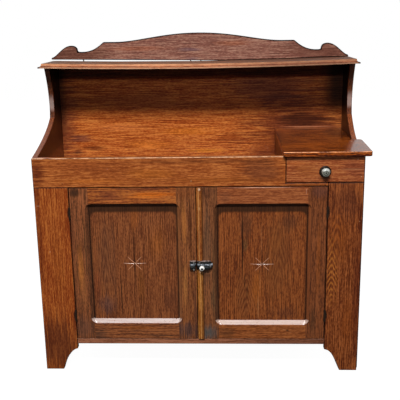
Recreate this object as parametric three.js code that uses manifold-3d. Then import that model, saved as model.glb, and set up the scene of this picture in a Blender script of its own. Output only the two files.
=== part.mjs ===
// Dry sink cabinet. A two-door cupboard carries a sunk well behind a deep apron, with a drawer
// and a counter at the well's right-hand end. The side boards rise as shaped cheeks to a thin
// top shelf, and a shaped crest board stands along the shelf's back edge.
// Millimetres, +Z up, front towards -Y, +X to the right. Pieces are laid out from the middle of
// the case, the face of the front frame and the floor, and the whole is then moved so that its
// origin is the middle of its base.

import * as THREE from "three";
import { mergeVertices } from "three/addons/utils/BufferGeometryUtils.js";
import { ConvexGeometry } from "three/addons/geometries/ConvexGeometry.js";
import Module from "manifold-3d";

const wasm = await Module();
wasm.setup();

// Overall sizes
const caseWidth = 1220;
const caseDepth = 480;
const rimHeight = 853;
const shelfHeight = 1163;

// Clearances
const fit = 0.3;
const overrun = 5;

// Board thicknesses
const sideThickness = 20;
const frontThickness = 22;
const backThickness = 14;
const floorThickness = 22;
const deckThickness = 18;
const dividerThickness = 18;
const counterThickness = 18;
const topShelfThickness = 17.5;
const crestThickness = 18;
const innerShelfThickness = 16;

// Front frame
const leftReveal = 2;
const rightReveal = 6;
const leftStileWidth = 129;
const rightStileWidth = 127;
const apronHeight = 111;
const drawerSillHeight = 11;
const floorHeight = 132;
const floorSetback = 1.5;

// Feet
const footRise = 89;
const leftFootWidth = 69;
const rightFootWidth = 66;
const sideFootWidth = 70;
const sideFootSweep = 60;
const roundFootShares = [[0.5, 0.05], [0.85, 0.62]];
const wavyFootShares = [[0.55, 0.05], [0.62, 0.45]];

// Cheeks: depths are measured back from the front face
const cheekTopDepth = 295;
const cheekWaistDepth = 338;
const cheekWaistHeight = 948;
const cheekFootDepth = 210;
const cheekCurveShares = [[0.53, 0.2], [1.56, 0.6]];
const leftSweepShare = [0.28, 0.61];
const rightSweepShare = [0.49, 0.75];

// Back boards
const rabbetWidth = 10;
const splashBottom = 700;
const backJointHeight = 405;

// Inner shelf and its cleats
const innerShelfHeight = 446;
const innerShelfSetback = 60;
const innerShelfSlack = 1;
const cleatSize = 20;

// Drawer bay and counter
const drawerBayWidth = 258;
const drawerLap = 10;
const counterFrontOverhang = 14;
const counterEndOverhang = 19;
const counterSideOverhang = 3;
const counterCornerRadius = 14;
const counterEarRadius = 18;
const counterArris = 2;

// Top shelf
const shelfFrontDepth = 258;
const shelfLeftOverhang = 16;
const shelfRightOverhang = 12;
const shelfTilt = 9;
const shelfSag = 9;
const shelfMouldWidth = 12;
const shelfLipHeight = 5;
const shelfSteps = 28;

// Crest
const crestEndOverhang = 3;
const crestHeight = 105;
const crestOffset = -4;
const crestLift = 6;
const crestContactShare = 0.168;
const crestTipShares = [1, 0.065];
const crestScrollShares = [[0.962, 0.085], [0.922, 0.532], [0.863, 0.532]];
const crestHookShares = [[0.825, 0.532], [0.819, 0.38]];
const crestCoveShares = [[0.817, 0.296], [0.742, 0.246], [0.693, 0.391], [0.641, 0.664]];
const crestArchShares = [[0.563, 0.664], [0.408, 0.664], [0.245, 1]];
const crestNailShares = [-0.782, -0.053, 0.015];
const crestNailRadius = 2.3;
const crestNailHold = 20;
const crestNailFoot = 5;
const crestSteps = 12;

// Doors
const doorThickness = 21;
const doorGap = 3;
const doorBottomGap = 1.5;
const meetingGap = 3;
const meetingOffset = -7;
const hingeStileWidth = 69;
const leftLockStileWidth = 70.5;
const rightLockStileWidth = 78;
const leftTopRailWidth = 72.5;
const rightTopRailWidth = 75.5;
const leftBottomRailWidth = 79;
const rightBottomRailWidth = 73;
const bevelWidth = 13;
const bottomBevelWidth = 16;
const bevelDepth = 11;
const bevelCornerRadius = 25;
const panelRecess = 13;
const panelThickness = 6;
const grooveDepth = 8;

// Carved stars
const starReach = 48;
const starDiagonalReach = 38;
const starHalfWidth = 3;
const starDepth = 2.2;
const starArms = 4;

// Meeting bead
const beadWidth = 24;
const beadThickness = 8;
const beadFlat = 1.5;
const beadSetback = 1;

// Hinges
const leafHeight = 42;
const leafThickness = 1.2;
const leafDepth = 18;
const knuckleRadius = 4;
const knuckleCount = 3;
const knuckleGap = 0.4;
const hingePinRadius = 1.8;
const hingePinClearance = 0.1;
const hingePinTip = 3;
const hingePinTipRadius = 3.2;
const upperHingeDrop = 96;
const lowerHingeRise = 98;

// Latch
const latchHeight = 436.5;
const latchPlateHeight = 36.5;
const latchCaseWidth = 58;
const latchCaseEdge = 0.5;
const latchCaseDepth = 13.5;
const latchRimDepth = 5;
const latchBevel = 5;
const latchBigRadius = 15;
const latchSmallRadius = 3;
const keeperWidth = 24;
const keeperEdge = 1.5;
const keeperDepth = 12;
const keeperPocket = 14;
const boltLength = 42;
const boltDrop = 4.5;
const boltHeight = 9;
const boltDepth = 7;
const boltBack = 1.5;
const boltThrow = 10;
const boltClearance = 0.5;
const knobPlace = 18;
const knobStemRadius = 1.9;
const porcelainRadius = 9.5;
const porcelainLength = 16;
const screwHeadRadius = 3.4;
const screwHeadHeight = 1.4;
const screwShankRadius = 1.6;
const screwGrip = 11;
const caseScrewShares = [[0.86, 0.5], [0.14, 0.86]];
const keeperScrewShares = [[0.66, 0.1], [0.66, 0.86]];

// Drawer
const drawerFrontGap = 1.5;
const drawerTopGap = 4;
const drawerBottomGap = 4;
const drawerBoxGap = 2;
const drawerSideThickness = 12;
const drawerSideHeight = 82;
const drawerBackClearance = 26;
const drawerBottomThickness = 6;
const drawerBottomRise = 8;
const drawerGrooveDepth = 5;
const drawerBackDrop = 4;
const rosetteRadius = 22;
const rosetteThickness = 4.5;
const drawerKnobDrop = 8;
const drawerKnobRadius = 16.5;
const drawerKnobLength = 20;
const drawerShankRadius = 3.5;
const drawerNutRadius = 8;
const drawerNutThickness = 5;
const rosetteShares = [[1, 0], [1, 0.35], [0.9, 0.9], [0.72, 1]];
const drawerKnobShares = [[0.55, 0], [0.58, 0.3], [1, 0.45], [1, 0.62], [0.8, 0.85], [0.4, 0.97]];
const porcelainShares = [[0.52, 0], [0.5, 0.2], [0.92, 0.42], [1, 0.62], [0.84, 0.85], [0.45, 1]];

// Mesh fineness
const curveSteps = 18;
const roundSides = 24;
const cornerSteps = 6;

// Places worked out from the sizes
const sideOuter = caseWidth / 2;
const crestHalfLength = sideOuter + crestEndOverhang;
const sideInner = sideOuter - sideThickness;
const backFace = caseDepth - backThickness;
const frameLeft = -sideOuter + leftReveal;
const frameRight = sideOuter - rightReveal;
const openingLeft = frameLeft + leftStileWidth;
const openingRight = frameRight - rightStileWidth;
const apronBottom = rimHeight - apronHeight;
const deckTop = apronBottom + drawerSillHeight;
const shelfUnderside = shelfHeight - topShelfThickness;
const dividerRight = sideInner - drawerBayWidth;
const dividerLeft = dividerRight - dividerThickness;
const apronEnd = dividerRight - drawerLap;
const doorBottom = floorHeight + doorBottomGap;
const doorHeight = apronBottom - doorGap - doorBottom;
const hingeAxisY = -knuckleRadius - fit;

const finishes = {
  caseWood: { color: 0x86441e, roughness: 0.38, metalness: 0 },
  splashWood: { color: 0x7a3b1c, roughness: 0.35, metalness: 0 },
  doorWood: { color: 0x723f23, roughness: 0.36, metalness: 0 },
  panelWood: { color: 0x6f3f24, roughness: 0.36, metalness: 0 },
  counterWood: { color: 0x683015, roughness: 0.28, metalness: 0 },
  beadWood: { color: 0xa16532, roughness: 0.4, metalness: 0 },
  rawWood: { color: 0x9a7248, roughness: 0.75, metalness: 0 },
  castIron: { color: 0x17130f, roughness: 0.35, metalness: 0.6 },
  hingeIron: { color: 0x2c241d, roughness: 0.5, metalness: 0.8 },
  porcelain: { color: 0xf1efe9, roughness: 0.12, metalness: 0 },
  knobMetal: { color: 0x8c8f84, roughness: 0.35, metalness: 0.8 },
  darkMetal: { color: 0x221b15, roughness: 0.45, metalness: 0.7 },
};

const cabinet = new THREE.Group();

// A mesh in its own material, hung in the group that carries it
function piece(name, geometry, finish, parent = cabinet) {
  const mesh = new THREE.Mesh(geometry, new THREE.MeshStandardMaterial(finishes[finish]));
  mesh.name = name;
  parent.add(mesh);
  return mesh;
}

// A box between two opposite corners, given in any order
function block(cornerA, cornerB) {
  const low = cornerA.map((value, i) => Math.min(value, cornerB[i]));
  const high = cornerA.map((value, i) => Math.max(value, cornerB[i]));
  const size = high.map((value, i) => value - low[i]);
  const geometry = new THREE.BoxGeometry(...size);
  return geometry.translate(...low.map((value, i) => value + size[i] / 2));
}

const axisX = new THREE.Vector3(1, 0, 0);
const axisY = new THREE.Vector3(0, 1, 0);
const axisZ = new THREE.Vector3(0, 0, 1);

function extrude(shape, depth, options = {}) {
  const settings = { depth, bevelEnabled: false, curveSegments: curveSteps, ...options };
  return new THREE.ExtrudeGeometry(shape, settings);
}

// An outline in x and z, as seen from the front, given its thickness in y
function fromFront(shape, front, back, options) {
  const turn = new THREE.Matrix4().makeBasis(axisX, axisZ, axisY.clone().negate());
  return extrude(shape, back - front, options).applyMatrix4(turn).translate(0, back, 0);
}

// An outline in y and z, as seen from the right, given its thickness in x
function fromSide(shape, left, right, options) {
  const turn = new THREE.Matrix4().makeBasis(axisY, axisZ, axisX);
  return extrude(shape, right - left, options).applyMatrix4(turn).translate(left, 0, 0);
}

function asSolid(geometry) {
  const bare = geometry.clone();
  bare.deleteAttribute("normal");
  bare.deleteAttribute("uv");
  const merged = mergeVertices(bare);
  const vertProperties = merged.attributes.position.array;
  const triVerts = new Uint32Array(merged.index.array);
  return new wasm.Manifold(new wasm.Mesh({ numProp: 3, vertProperties, triVerts }));
}

function asGeometry(solid) {
  const { vertProperties, triVerts } = solid.getMesh();
  const geometry = new THREE.BufferGeometry();
  geometry.setAttribute("position", new THREE.BufferAttribute(vertProperties, 3));
  geometry.setIndex(new THREE.BufferAttribute(triVerts, 1));
  geometry.computeVertexNormals();
  return geometry;
}

function carve(geometry, cuts) {
  return asGeometry(cuts.reduce((solid, cut) => solid.subtract(asSolid(cut)), asSolid(geometry)));
}

function join(geometries) {
  return asGeometry(geometries.map(asSolid).reduce((solid, other) => solid.add(other)));
}

// A turned piece about the y axis, its profile's heights running out of the front
function turnedOut(profile) {
  const points = profile.map(([radius, height]) => new THREE.Vector2(radius, height));
  return new THREE.LatheGeometry(points, roundSides).rotateX(Math.PI);
}

// A round bar along y, from one depth to another
function rodAlongY(radius, from, to) {
  const geometry = new THREE.CylinderGeometry(radius, radius, to - from, roundSides);
  return geometry.translate(0, (from + to) / 2, 0);
}

// A round bar along z
function rodAlongZ(radius, from, to) {
  const geometry = new THREE.CylinderGeometry(radius, radius, to - from, roundSides);
  return geometry.rotateX(Math.PI / 2).translate(0, 0, (from + to) / 2);
}

// How far the tilted top shelf stands above its back edge at a depth
function tiltAt(depth) {
  return (shelfTilt * (caseDepth - depth)) / (caseDepth - shelfFrontDepth);
}

// How far the top shelf hangs below its ends at a place along it
function sagAt(x) {
  const share = Math.min(Math.abs(x) / sideInner, 1);
  return shelfSag * (1 - share * share);
}

// The sawn curve of a foot, drawn from its toe up to its inner edge
function footCurve(shape, toe, inner, shares) {
  const controls = shares.map(([across, down]) => [
    inner + across * (toe - inner),
    footRise * (1 - down),
  ]);
  shape.bezierCurveTo(...controls[1], ...controls[0], inner, footRise);
}

// Side boards: each is one wide board from the floor to the top shelf, with feet sawn at its
// base, a shaped cheek above the rim and a rabbet behind for the back boards
function sideOutline(drawCheek) {
  const shape = new THREE.Shape();
  const frontToe = frontThickness + sideFootWidth;
  const backToe = caseDepth - sideFootWidth;
  shape.moveTo(frontThickness, 0);
  shape.lineTo(frontToe, 0);
  footCurve(shape, frontToe, frontToe + sideFootSweep, roundFootShares);
  shape.lineTo(backToe - sideFootSweep, footRise);
  const [upper, lower] = roundFootShares.map(([across, down]) => [
    backToe - sideFootSweep * (1 - across),
    footRise * (1 - down),
  ]);
  shape.bezierCurveTo(...upper, ...lower, backToe, 0);
  shape.lineTo(caseDepth, 0);
  const cheekTop = shelfUnderside + tiltAt(cheekTopDepth) - fit;
  shape.lineTo(caseDepth, shelfUnderside - fit);
  shape.lineTo(cheekTopDepth, cheekTop);
  const controls = cheekCurveShares.map(([across, down]) => [
    cheekTopDepth + across * (cheekWaistDepth - cheekTopDepth),
    cheekTop - down * (cheekTop - cheekWaistHeight),
  ]);
  shape.bezierCurveTo(...controls[0], ...controls[1], cheekWaistDepth, cheekWaistHeight);
  drawCheek(shape);
  shape.closePath();
  return shape;
}

// The sweep from the cheek's waist forward and down to a given depth and height
function cheekSweep(shape, depth, height, [across, down]) {
  const controlDepth = cheekWaistDepth - across * (cheekWaistDepth - depth);
  const controlHeight = cheekWaistHeight - down * (cheekWaistHeight - height);
  shape.quadraticCurveTo(controlDepth, controlHeight, depth, height);
}

function leftCheek(shape) {
  cheekSweep(shape, frontThickness, rimHeight, leftSweepShare);
}

// The right cheek ends on the counter, and the board below it is cut level to carry the counter
function rightCheek(shape) {
  cheekSweep(shape, cheekFootDepth, rimHeight + counterThickness, rightSweepShare);
  shape.lineTo(cheekFootDepth, rimHeight);
  shape.lineTo(frontThickness, rimHeight);
}

function sideBoard(side, drawCheek) {
  const inner = side * sideInner;
  const outer = side * sideOuter;
  const board = fromSide(sideOutline(drawCheek), Math.min(inner, outer), Math.max(inner, outer));
  const rabbetLow = [inner - side * overrun, backFace, floorHeight - floorThickness];
  const rabbetHigh = [inner + side * rabbetWidth, caseDepth + overrun, shelfHeight];
  return carve(board, [block(rabbetLow, rabbetHigh)]);
}

piece("left_side_board", sideBoard(-1, leftCheek), "caseWood");
piece("right_side_board", sideBoard(1, rightCheek), "caseWood");

// Front stiles: wide boards nailed over the front edges of the sides, sawn to a foot below
function frontStile(outer, inner, toe, top, footShares) {
  const shape = new THREE.Shape();
  shape.moveTo(outer, 0);
  shape.lineTo(toe, 0);
  footCurve(shape, toe, inner, footShares);
  shape.lineTo(inner, top);
  shape.lineTo(outer, top);
  shape.closePath();
  return fromFront(shape, 0, frontThickness);
}

const leftToe = frameLeft + leftFootWidth;
const rightToe = frameRight - rightFootWidth;
const leftStile = frontStile(frameLeft, openingLeft, leftToe, apronBottom, roundFootShares);
const rightStile = frontStile(frameRight, openingRight, rightToe, deckTop, wavyFootShares);
piece("left_front_stile", leftStile, "caseWood");
piece("right_front_stile", rightStile, "caseWood");

// Apron: the deep front board of the well, cut down to a narrow sill below the drawer
function apron() {
  const shape = new THREE.Shape();
  shape.moveTo(frameLeft, apronBottom);
  shape.lineTo(openingRight, apronBottom);
  shape.lineTo(openingRight, deckTop);
  shape.lineTo(apronEnd, deckTop);
  shape.lineTo(apronEnd, rimHeight);
  shape.lineTo(frameLeft, rimHeight);
  shape.closePath();
  return fromFront(shape, 0, frontThickness);
}

piece("sink_apron", apron(), "caseWood");

// Cupboard floor: notched round the stiles, with its front edge showing below the doors
function cupboardFloor() {
  const shape = new THREE.Shape();
  shape.moveTo(openingLeft, floorSetback);
  shape.lineTo(openingRight, floorSetback);
  shape.lineTo(openingRight, frontThickness);
  shape.lineTo(sideInner, frontThickness);
  shape.lineTo(sideInner, backFace);
  shape.lineTo(-sideInner, backFace);
  shape.lineTo(-sideInner, frontThickness);
  shape.lineTo(openingLeft, frontThickness);
  shape.closePath();
  return extrude(shape, floorThickness).translate(0, 0, floorHeight - floorThickness);
}

piece("cupboard_floor", cupboardFloor(), "caseWood");

// Sink deck: the bottom of the well, which the drawer also slides on
const deckFront = [-sideInner, frontThickness, deckTop - deckThickness];
piece("sink_deck", block(deckFront, [sideInner, backFace, deckTop]), "splashWood");

// Back boards: they lie in the rabbets, and the splash board follows the sagging top shelf
const backHalf = sideInner + rabbetWidth;

function splashBoard() {
  const shape = new THREE.Shape();
  shape.moveTo(-backHalf, splashBottom);
  shape.lineTo(backHalf, splashBottom);
  shape.lineTo(backHalf, shelfUnderside - fit);
  for (let i = 0; i <= shelfSteps; i += 1) {
    const x = sideInner - (2 * sideInner * i) / shelfSteps;
    shape.lineTo(x, shelfUnderside - fit - sagAt(x));
  }
  shape.lineTo(-backHalf, shelfUnderside - fit);
  shape.closePath();
  return fromFront(shape, backFace, caseDepth);
}

function backBoard(bottom, top) {
  return block([-backHalf, backFace, bottom], [backHalf, caseDepth, top]);
}

piece("splash_board", splashBoard(), "splashWood");
piece("upper_back_board", backBoard(backJointHeight, splashBottom), "rawWood");
piece("lower_back_board", backBoard(floorHeight - floorThickness, backJointHeight), "rawWood");

// Inner shelf on two cleats
const cleatTop = innerShelfHeight - innerShelfThickness;
const innerShelfHalf = sideInner - innerShelfSlack;
piece(
  "cupboard_shelf",
  block(
    [-innerShelfHalf, innerShelfSetback, cleatTop],
    [innerShelfHalf, backFace, innerShelfHeight],
  ),
  "rawWood",
);
for (const [name, side] of [["left_shelf_cleat", -1], ["right_shelf_cleat", 1]]) {
  const low = [side * sideInner, innerShelfSetback, cleatTop - cleatSize];
  const high = [side * (sideInner - cleatSize), backFace, cleatTop];
  piece(name, block(low, high), "rawWood");
}

// Divider between the well and the drawer bay
const dividerLow = [dividerLeft, frontThickness, deckTop];
piece("drawer_divider", block(dividerLow, [dividerRight, backFace, rimHeight]), "splashWood");

// Counter: covers the drawer bay, runs past the side as an ear and is notched round the cheek
function counter() {
  const left = dividerLeft - counterSideOverhang;
  const right = sideOuter + counterEndOverhang;
  const front = -counterFrontOverhang;
  const earBack = cheekFootDepth - fit;
  const inside = sideInner - fit;
  const shape = new THREE.Shape();
  shape.moveTo(left, front);
  shape.lineTo(right - counterCornerRadius, front);
  shape.quadraticCurveTo(right, front, right, front + counterCornerRadius);
  shape.lineTo(right, earBack - counterEarRadius);
  shape.quadraticCurveTo(right, earBack, right - counterEarRadius, earBack);
  shape.lineTo(inside, earBack);
  shape.lineTo(inside, backFace - fit);
  shape.lineTo(left, backFace - fit);
  shape.closePath();
  const geometry = extrude(shape, counterThickness - 2 * counterArris, {
    bevelEnabled: true,
    bevelThickness: counterArris,
    bevelSize: counterArris,
    bevelOffset: -counterArris,
    bevelSegments: 2,
    curveSegments: cornerSteps,
  });
  return geometry.translate(0, 0, rimHeight + counterArris);
}

piece("drawer_counter", counter(), "counterWood");

// Top shelf: a board moulded along its front and ends, which tilts to the back and has sagged
// between the sides. It is laid out flat, then tilted.
function shelfMould(shape, edge, side) {
  const inner = edge + side * shelfMouldWidth;
  shape.lineTo(inner, shelfHeight);
  const lipTop = shelfUnderside + shelfLipHeight;
  shape.quadraticCurveTo(inner, lipTop, edge, lipTop);
  shape.lineTo(edge, shelfUnderside);
}

function shelfEnd(section, side, overhang) {
  const outer = side * (sideOuter + overhang);
  const inner = side * sideInner;
  const shape = new THREE.Shape();
  shape.moveTo(inner, shelfUnderside);
  shape.lineTo(inner, shelfHeight);
  shelfMould(shape, outer, -side);
  shape.closePath();
  const ends = { curveSegments: cornerSteps };
  const along = fromSide(section, Math.min(inner, outer), Math.max(inner, outer), ends);
  return asGeometry(asSolid(along).intersect(asSolid(fromFront(shape, 0, caseDepth, ends))));
}

function topShelf() {
  const section = new THREE.Shape();
  section.moveTo(caseDepth, shelfUnderside);
  section.lineTo(caseDepth, shelfHeight);
  shelfMould(section, shelfFrontDepth, 1);
  section.closePath();
  const settings = { steps: shelfSteps, curveSegments: cornerSteps };
  const middle = fromSide(section, -sideInner, sideInner, settings);
  const places = middle.attributes.position;
  for (let i = 0; i < places.count; i += 1) {
    places.setZ(i, places.getZ(i) - sagAt(places.getX(i)));
  }
  const left = shelfEnd(section, -1, shelfLeftOverhang);
  const right = shelfEnd(section, 1, shelfRightOverhang);
  const slope = shelfTilt / (caseDepth - shelfFrontDepth);
  const tilt = new THREE.Matrix4().makeShear(0, 0, 0, -slope, 0, 0);
  return join([left, middle, right]).applyMatrix4(tilt).translate(0, 0, slope * caseDepth);
}

// Crest board: it touches the shelf over its right half only, and stands on nails to the left
const crestLeft = crestOffset - crestHalfLength;
const crestRight = crestOffset + crestHalfLength;
const crestFront = caseDepth - crestThickness;
const crestBase = shelfHeight + tiltAt(crestFront) + fit;
const crestContact = crestOffset + crestContactShare * crestHalfLength;
const crestContactHeight = crestBase - sagAt(crestContact);

function crestLiftAt(x) {
  return crestLift * Math.max((crestContact - x) / (crestContact - crestLeft), 0);
}

function crestPoint([across, up], side) {
  const x = crestOffset + side * across * crestHalfLength;
  return [x, crestBase + up * crestHeight + crestLiftAt(x)];
}

function crestUnderside(x) {
  const share = (crestContact - x) / (crestContact - crestLeft);
  return crestContactHeight + share * (crestBase + crestLift - crestContactHeight);
}

function crestOutline() {
  const shape = new THREE.Shape();
  const place = (shares, side) => shares.flatMap((share) => crestPoint(share, side));
  shape.moveTo(crestContact, crestContactHeight);
  for (let i = 1; i <= crestSteps; i += 1) {
    const x = crestContact + ((sideInner - crestContact) * i) / crestSteps;
    shape.lineTo(x, crestBase - sagAt(x));
  }
  shape.lineTo(crestRight, crestBase);
  shape.lineTo(...crestPoint(crestTipShares, 1));
  shape.bezierCurveTo(...place(crestScrollShares, 1));
  shape.quadraticCurveTo(...place(crestHookShares, 1));
  shape.lineTo(...crestPoint(crestCoveShares[0], 1));
  shape.bezierCurveTo(...place(crestCoveShares.slice(1), 1));
  shape.lineTo(...crestPoint(crestArchShares[0], 1));
  shape.bezierCurveTo(...place(crestArchShares.slice(1), 1), ...crestPoint([0, 1], 1));
  const archBack = [...crestArchShares.slice(1)].reverse();
  shape.bezierCurveTo(...place(archBack, -1), ...crestPoint(crestArchShares[0], -1));
  const cove = [...crestCoveShares].reverse();
  shape.lineTo(...crestPoint(cove[0], -1));
  shape.bezierCurveTo(...place(cove.slice(1), -1));
  shape.lineTo(...crestPoint(crestHookShares[1], -1));
  shape.quadraticCurveTo(...place([crestHookShares[0], crestScrollShares[2]], -1));
  const scroll = [crestScrollShares[1], crestScrollShares[0], crestTipShares];
  shape.bezierCurveTo(...place(scroll, -1));
  shape.lineTo(crestLeft, crestBase + crestLift);
  shape.closePath();
  return shape;
}

const crestMiddle = caseDepth - crestThickness / 2;
const crestNails = crestNailShares.map((share) => {
  const x = crestOffset + share * crestHalfLength;
  const bottom = shelfHeight - sagAt(x) - crestNailFoot;
  const top = crestUnderside(x) + crestNailHold;
  return { x, bottom, top };
});

function nailBore({ x, bottom, top }) {
  return rodAlongZ(crestNailRadius + fit, bottom - fit, top + fit).translate(x, crestMiddle, 0);
}

const crestBores = crestNails.map(nailBore);
piece("top_shelf", carve(topShelf(), crestBores), "caseWood");
const crest = fromFront(crestOutline(), crestFront, caseDepth);
piece("crest_board", carve(crest, crestBores), "caseWood");
crestNails.forEach(({ x, bottom, top }, i) => {
  const nail = piece(`crest_nail_${i + 1}`, rodAlongZ(crestNailRadius, bottom, top), "hingeIron");
  nail.position.set(x, crestMiddle, 0);
});

// Hinges: iron butts whose leaves fill the gap beside the door, with the knuckles in front
const knucklePitch = leafHeight / knuckleCount;

function hingeLeaf(side, facing, owned) {
  const near = -side * (doorGap / 2);
  const plateEdge = facing === "case" ? near : -near;
  const plateInner = plateEdge - Math.sign(plateEdge) * leafThickness;
  const parts = [block([plateEdge, fit, 0], [plateInner, leafDepth, leafHeight])];
  for (let i = 0; i < knuckleCount; i += 1) {
    if (i % 2 === owned) {
      const low = i * knucklePitch + knuckleGap / 2;
      const high = (i + 1) * knucklePitch - knuckleGap / 2;
      parts.push(rodAlongZ(knuckleRadius, low, high).translate(0, hingeAxisY, 0));
      parts.push(block([plateEdge, hingeAxisY, low], [plateInner, 2 * fit, high]));
    }
  }
  const boreRadius = hingePinRadius + hingePinClearance;
  const bore = rodAlongZ(boreRadius, -overrun, leafHeight + overrun);
  return carve(join(parts), [bore.translate(0, hingeAxisY, 0)]);
}

function hingePin() {
  const profile = [
    [0, -hingePinTip],
    [hingePinTipRadius, -hingePinTip],
    [hingePinTipRadius, -fit],
    [hingePinRadius, -fit],
    [hingePinRadius, leafHeight + fit],
    [hingePinTipRadius, leafHeight + fit],
    [hingePinTipRadius, leafHeight + hingePinTip],
    [0, leafHeight + hingePinTip],
  ];
  const points = profile.map(([radius, height]) => new THREE.Vector2(radius, height));
  return new THREE.LatheGeometry(points, roundSides).rotateX(Math.PI / 2);
}

const hingeBottoms = {
  upper: doorHeight - upperHingeDrop - leafHeight / 2,
  lower: lowerHingeRise - leafHeight / 2,
};

function hangHinges(prefix, side, hingeX, doorGroup) {
  for (const [level, bottom] of Object.entries(hingeBottoms)) {
    const height = doorBottom + bottom;
    const name = `${prefix}_${level}_hinge`;
    const caseLeaf = piece(`${name}_case_leaf`, hingeLeaf(side, "case", 0), "hingeIron");
    caseLeaf.position.set(hingeX, 0, height);
    const pin = piece(`${name}_pin`, hingePin(), "hingeIron");
    pin.position.set(hingeX, hingeAxisY, height);
    const doorLeafShape = hingeLeaf(side, "door", 1);
    const doorLeaf = piece(`${name}_door_leaf`, doorLeafShape, "hingeIron", doorGroup);
    doorLeaf.position.set(0, 0, bottom);
  }
}

// Doors: stiles and rails with a groove for a flat panel, and a sloped bevel round the opening.
// Each door hangs in a group at its hinge line, and u runs from its hinge edge to its lock edge.
function bevelPlug(side, low, high) {
  const points = [];
  const radius = bevelCornerRadius;
  const outer = {
    left: low.u - bevelWidth,
    right: high.u + bevelWidth,
    bottom: low.z - bottomBevelWidth,
    top: high.z + bevelWidth,
  };
  const corners = [
    [outer.right - radius, outer.top - radius, 0],
    [outer.left + radius, outer.top - radius, 1],
    [outer.left + radius, outer.bottom + radius, 2],
    [outer.right - radius, outer.bottom + radius, 3],
  ];
  for (const [u, z, quarter] of corners) {
    for (let i = 0; i <= cornerSteps; i += 1) {
      const angle = (quarter + i / cornerSteps) * (Math.PI / 2);
      const x = side * (u + radius * Math.cos(angle));
      const height = z + radius * Math.sin(angle);
      points.push(new THREE.Vector3(x, -overrun, height), new THREE.Vector3(x, 0, height));
    }
  }
  for (const u of [low.u, high.u]) {
    for (const z of [low.z, high.z]) {
      points.push(new THREE.Vector3(side * u, bevelDepth, z));
    }
  }
  return new ConvexGeometry(points);
}

// One stroke of a star: a long pointed V-cut, deepest in its middle
function starStroke(angle, reach) {
  const rim = [[reach, 0], [-reach, 0], [0, starHalfWidth], [0, -starHalfWidth]];
  const points = rim.flatMap(([along, across]) => {
    const x = along * Math.cos(angle) - across * Math.sin(angle);
    const z = along * Math.sin(angle) + across * Math.cos(angle);
    return [new THREE.Vector3(x, -starHalfWidth, z), new THREE.Vector3(x, 0, z)];
  });
  points.push(new THREE.Vector3(0, starDepth, 0));
  return new ConvexGeometry(points);
}

function doorPanel(side, low, high) {
  const front = panelRecess;
  const back = panelRecess + panelThickness;
  const reach = grooveDepth - fit;
  const board = block(
    [side * (low.u - reach), front, low.z - reach],
    [side * (high.u + reach), back, high.z + reach],
  );
  const strokes = [];
  for (let i = 0; i < starArms; i += 1) {
    const angle = (i * Math.PI) / starArms;
    const stroke = starStroke(angle, i % 2 === 0 ? starReach : starDiagonalReach);
    const middle = [side * (low.u + high.u) / 2, front, (low.z + high.z) / 2];
    strokes.push(stroke.translate(...middle));
  }
  return carve(board, strokes);
}

// Holes for the latch's screws in a door's lock stile, given as places in the door's group
function screwBores(places) {
  const radius = screwShankRadius + fit;
  return places.map(([x, z]) => rodAlongY(radius, -overrun, screwGrip + fit).translate(x, 0, z));
}

function makeDoor(
  prefix, side, hingeEdge, lockEdge, lockStileWidth, topRail, bottomRail, screwPlaces
) {
  const width = Math.abs(lockEdge - hingeEdge);
  const edge = doorGap / 2;
  const group = new THREE.Group();
  group.position.set(hingeEdge - side * edge, 0, doorBottom);
  cabinet.add(group);

  const low = { u: edge + hingeStileWidth, z: bottomRail };
  const high = { u: edge + width - lockStileWidth, z: doorHeight - topRail };
  const grooveFront = panelRecess - fit;
  const grooveBack = panelRecess + panelThickness + fit;
  const plug = bevelPlug(side, low, high);
  const groove = (bottom, top) => block(
    [side * (low.u - grooveDepth), grooveFront, bottom],
    [side * (high.u + grooveDepth), grooveBack, top],
  );
  const stileGroove = groove(-overrun, doorHeight + overrun);
  const railGroove = groove(low.z - grooveDepth, high.z + grooveDepth);
  const stile = (from, to) => block([side * from, 0, 0], [side * to, doorThickness, doorHeight]);
  const rail = (bottom, top) => {
    const tenonReach = grooveDepth - fit;
    const body = block([side * low.u, 0, bottom], [side * high.u, doorThickness, top]);
    const tenon = block(
      [side * (low.u - tenonReach), panelRecess, bottom],
      [side * (high.u + tenonReach), panelRecess + panelThickness, top],
    );
    return carve(join([body, tenon]), [plug, railGroove]);
  };

  const lockCuts = [plug, stileGroove, ...screwBores(screwPlaces)];
  const hingeStile = carve(stile(edge, low.u), [plug, stileGroove]);
  const lockStile = carve(stile(high.u, edge + width), lockCuts);
  piece(`${prefix}_hinge_stile`, hingeStile, "doorWood", group);
  piece(`${prefix}_lock_stile`, lockStile, "doorWood", group);
  piece(`${prefix}_top_rail`, rail(high.z, doorHeight), "doorWood", group);
  piece(`${prefix}_bottom_rail`, rail(0, low.z), "doorWood", group);
  piece(`${prefix}_panel`, doorPanel(side, low, high), "panelWood", group);
  hangHinges(prefix, side, group.position.x, group);
  return group;
}

const leftHingeEdge = openingLeft + doorGap;
const rightHingeEdge = openingRight - doorGap;
const leftLockEdge = meetingOffset - meetingGap / 2;
const rightLockEdge = meetingOffset + meetingGap / 2;
const leftHingeX = leftHingeEdge - doorGap / 2;
const rightHingeX = rightHingeEdge + doorGap / 2;
const keeperLeft = leftLockEdge - keeperEdge - keeperWidth;
const latchCaseLeft = rightLockEdge + latchCaseEdge;

// Screw places on a plate, from its left end and its bottom edge, in cabinet coordinates
function platePlaces(left, width, shares) {
  const bottom = latchHeight - latchPlateHeight / 2;
  return shares.map(([across, up]) => [left + across * width, bottom + up * latchPlateHeight]);
}

const keeperScrews = platePlaces(keeperLeft, keeperWidth, keeperScrewShares);
const caseScrews = platePlaces(latchCaseLeft, latchCaseWidth, caseScrewShares);
const inDoor = (places, hingeX) => places.map(([x, z]) => [x - hingeX, z - doorBottom]);

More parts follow.
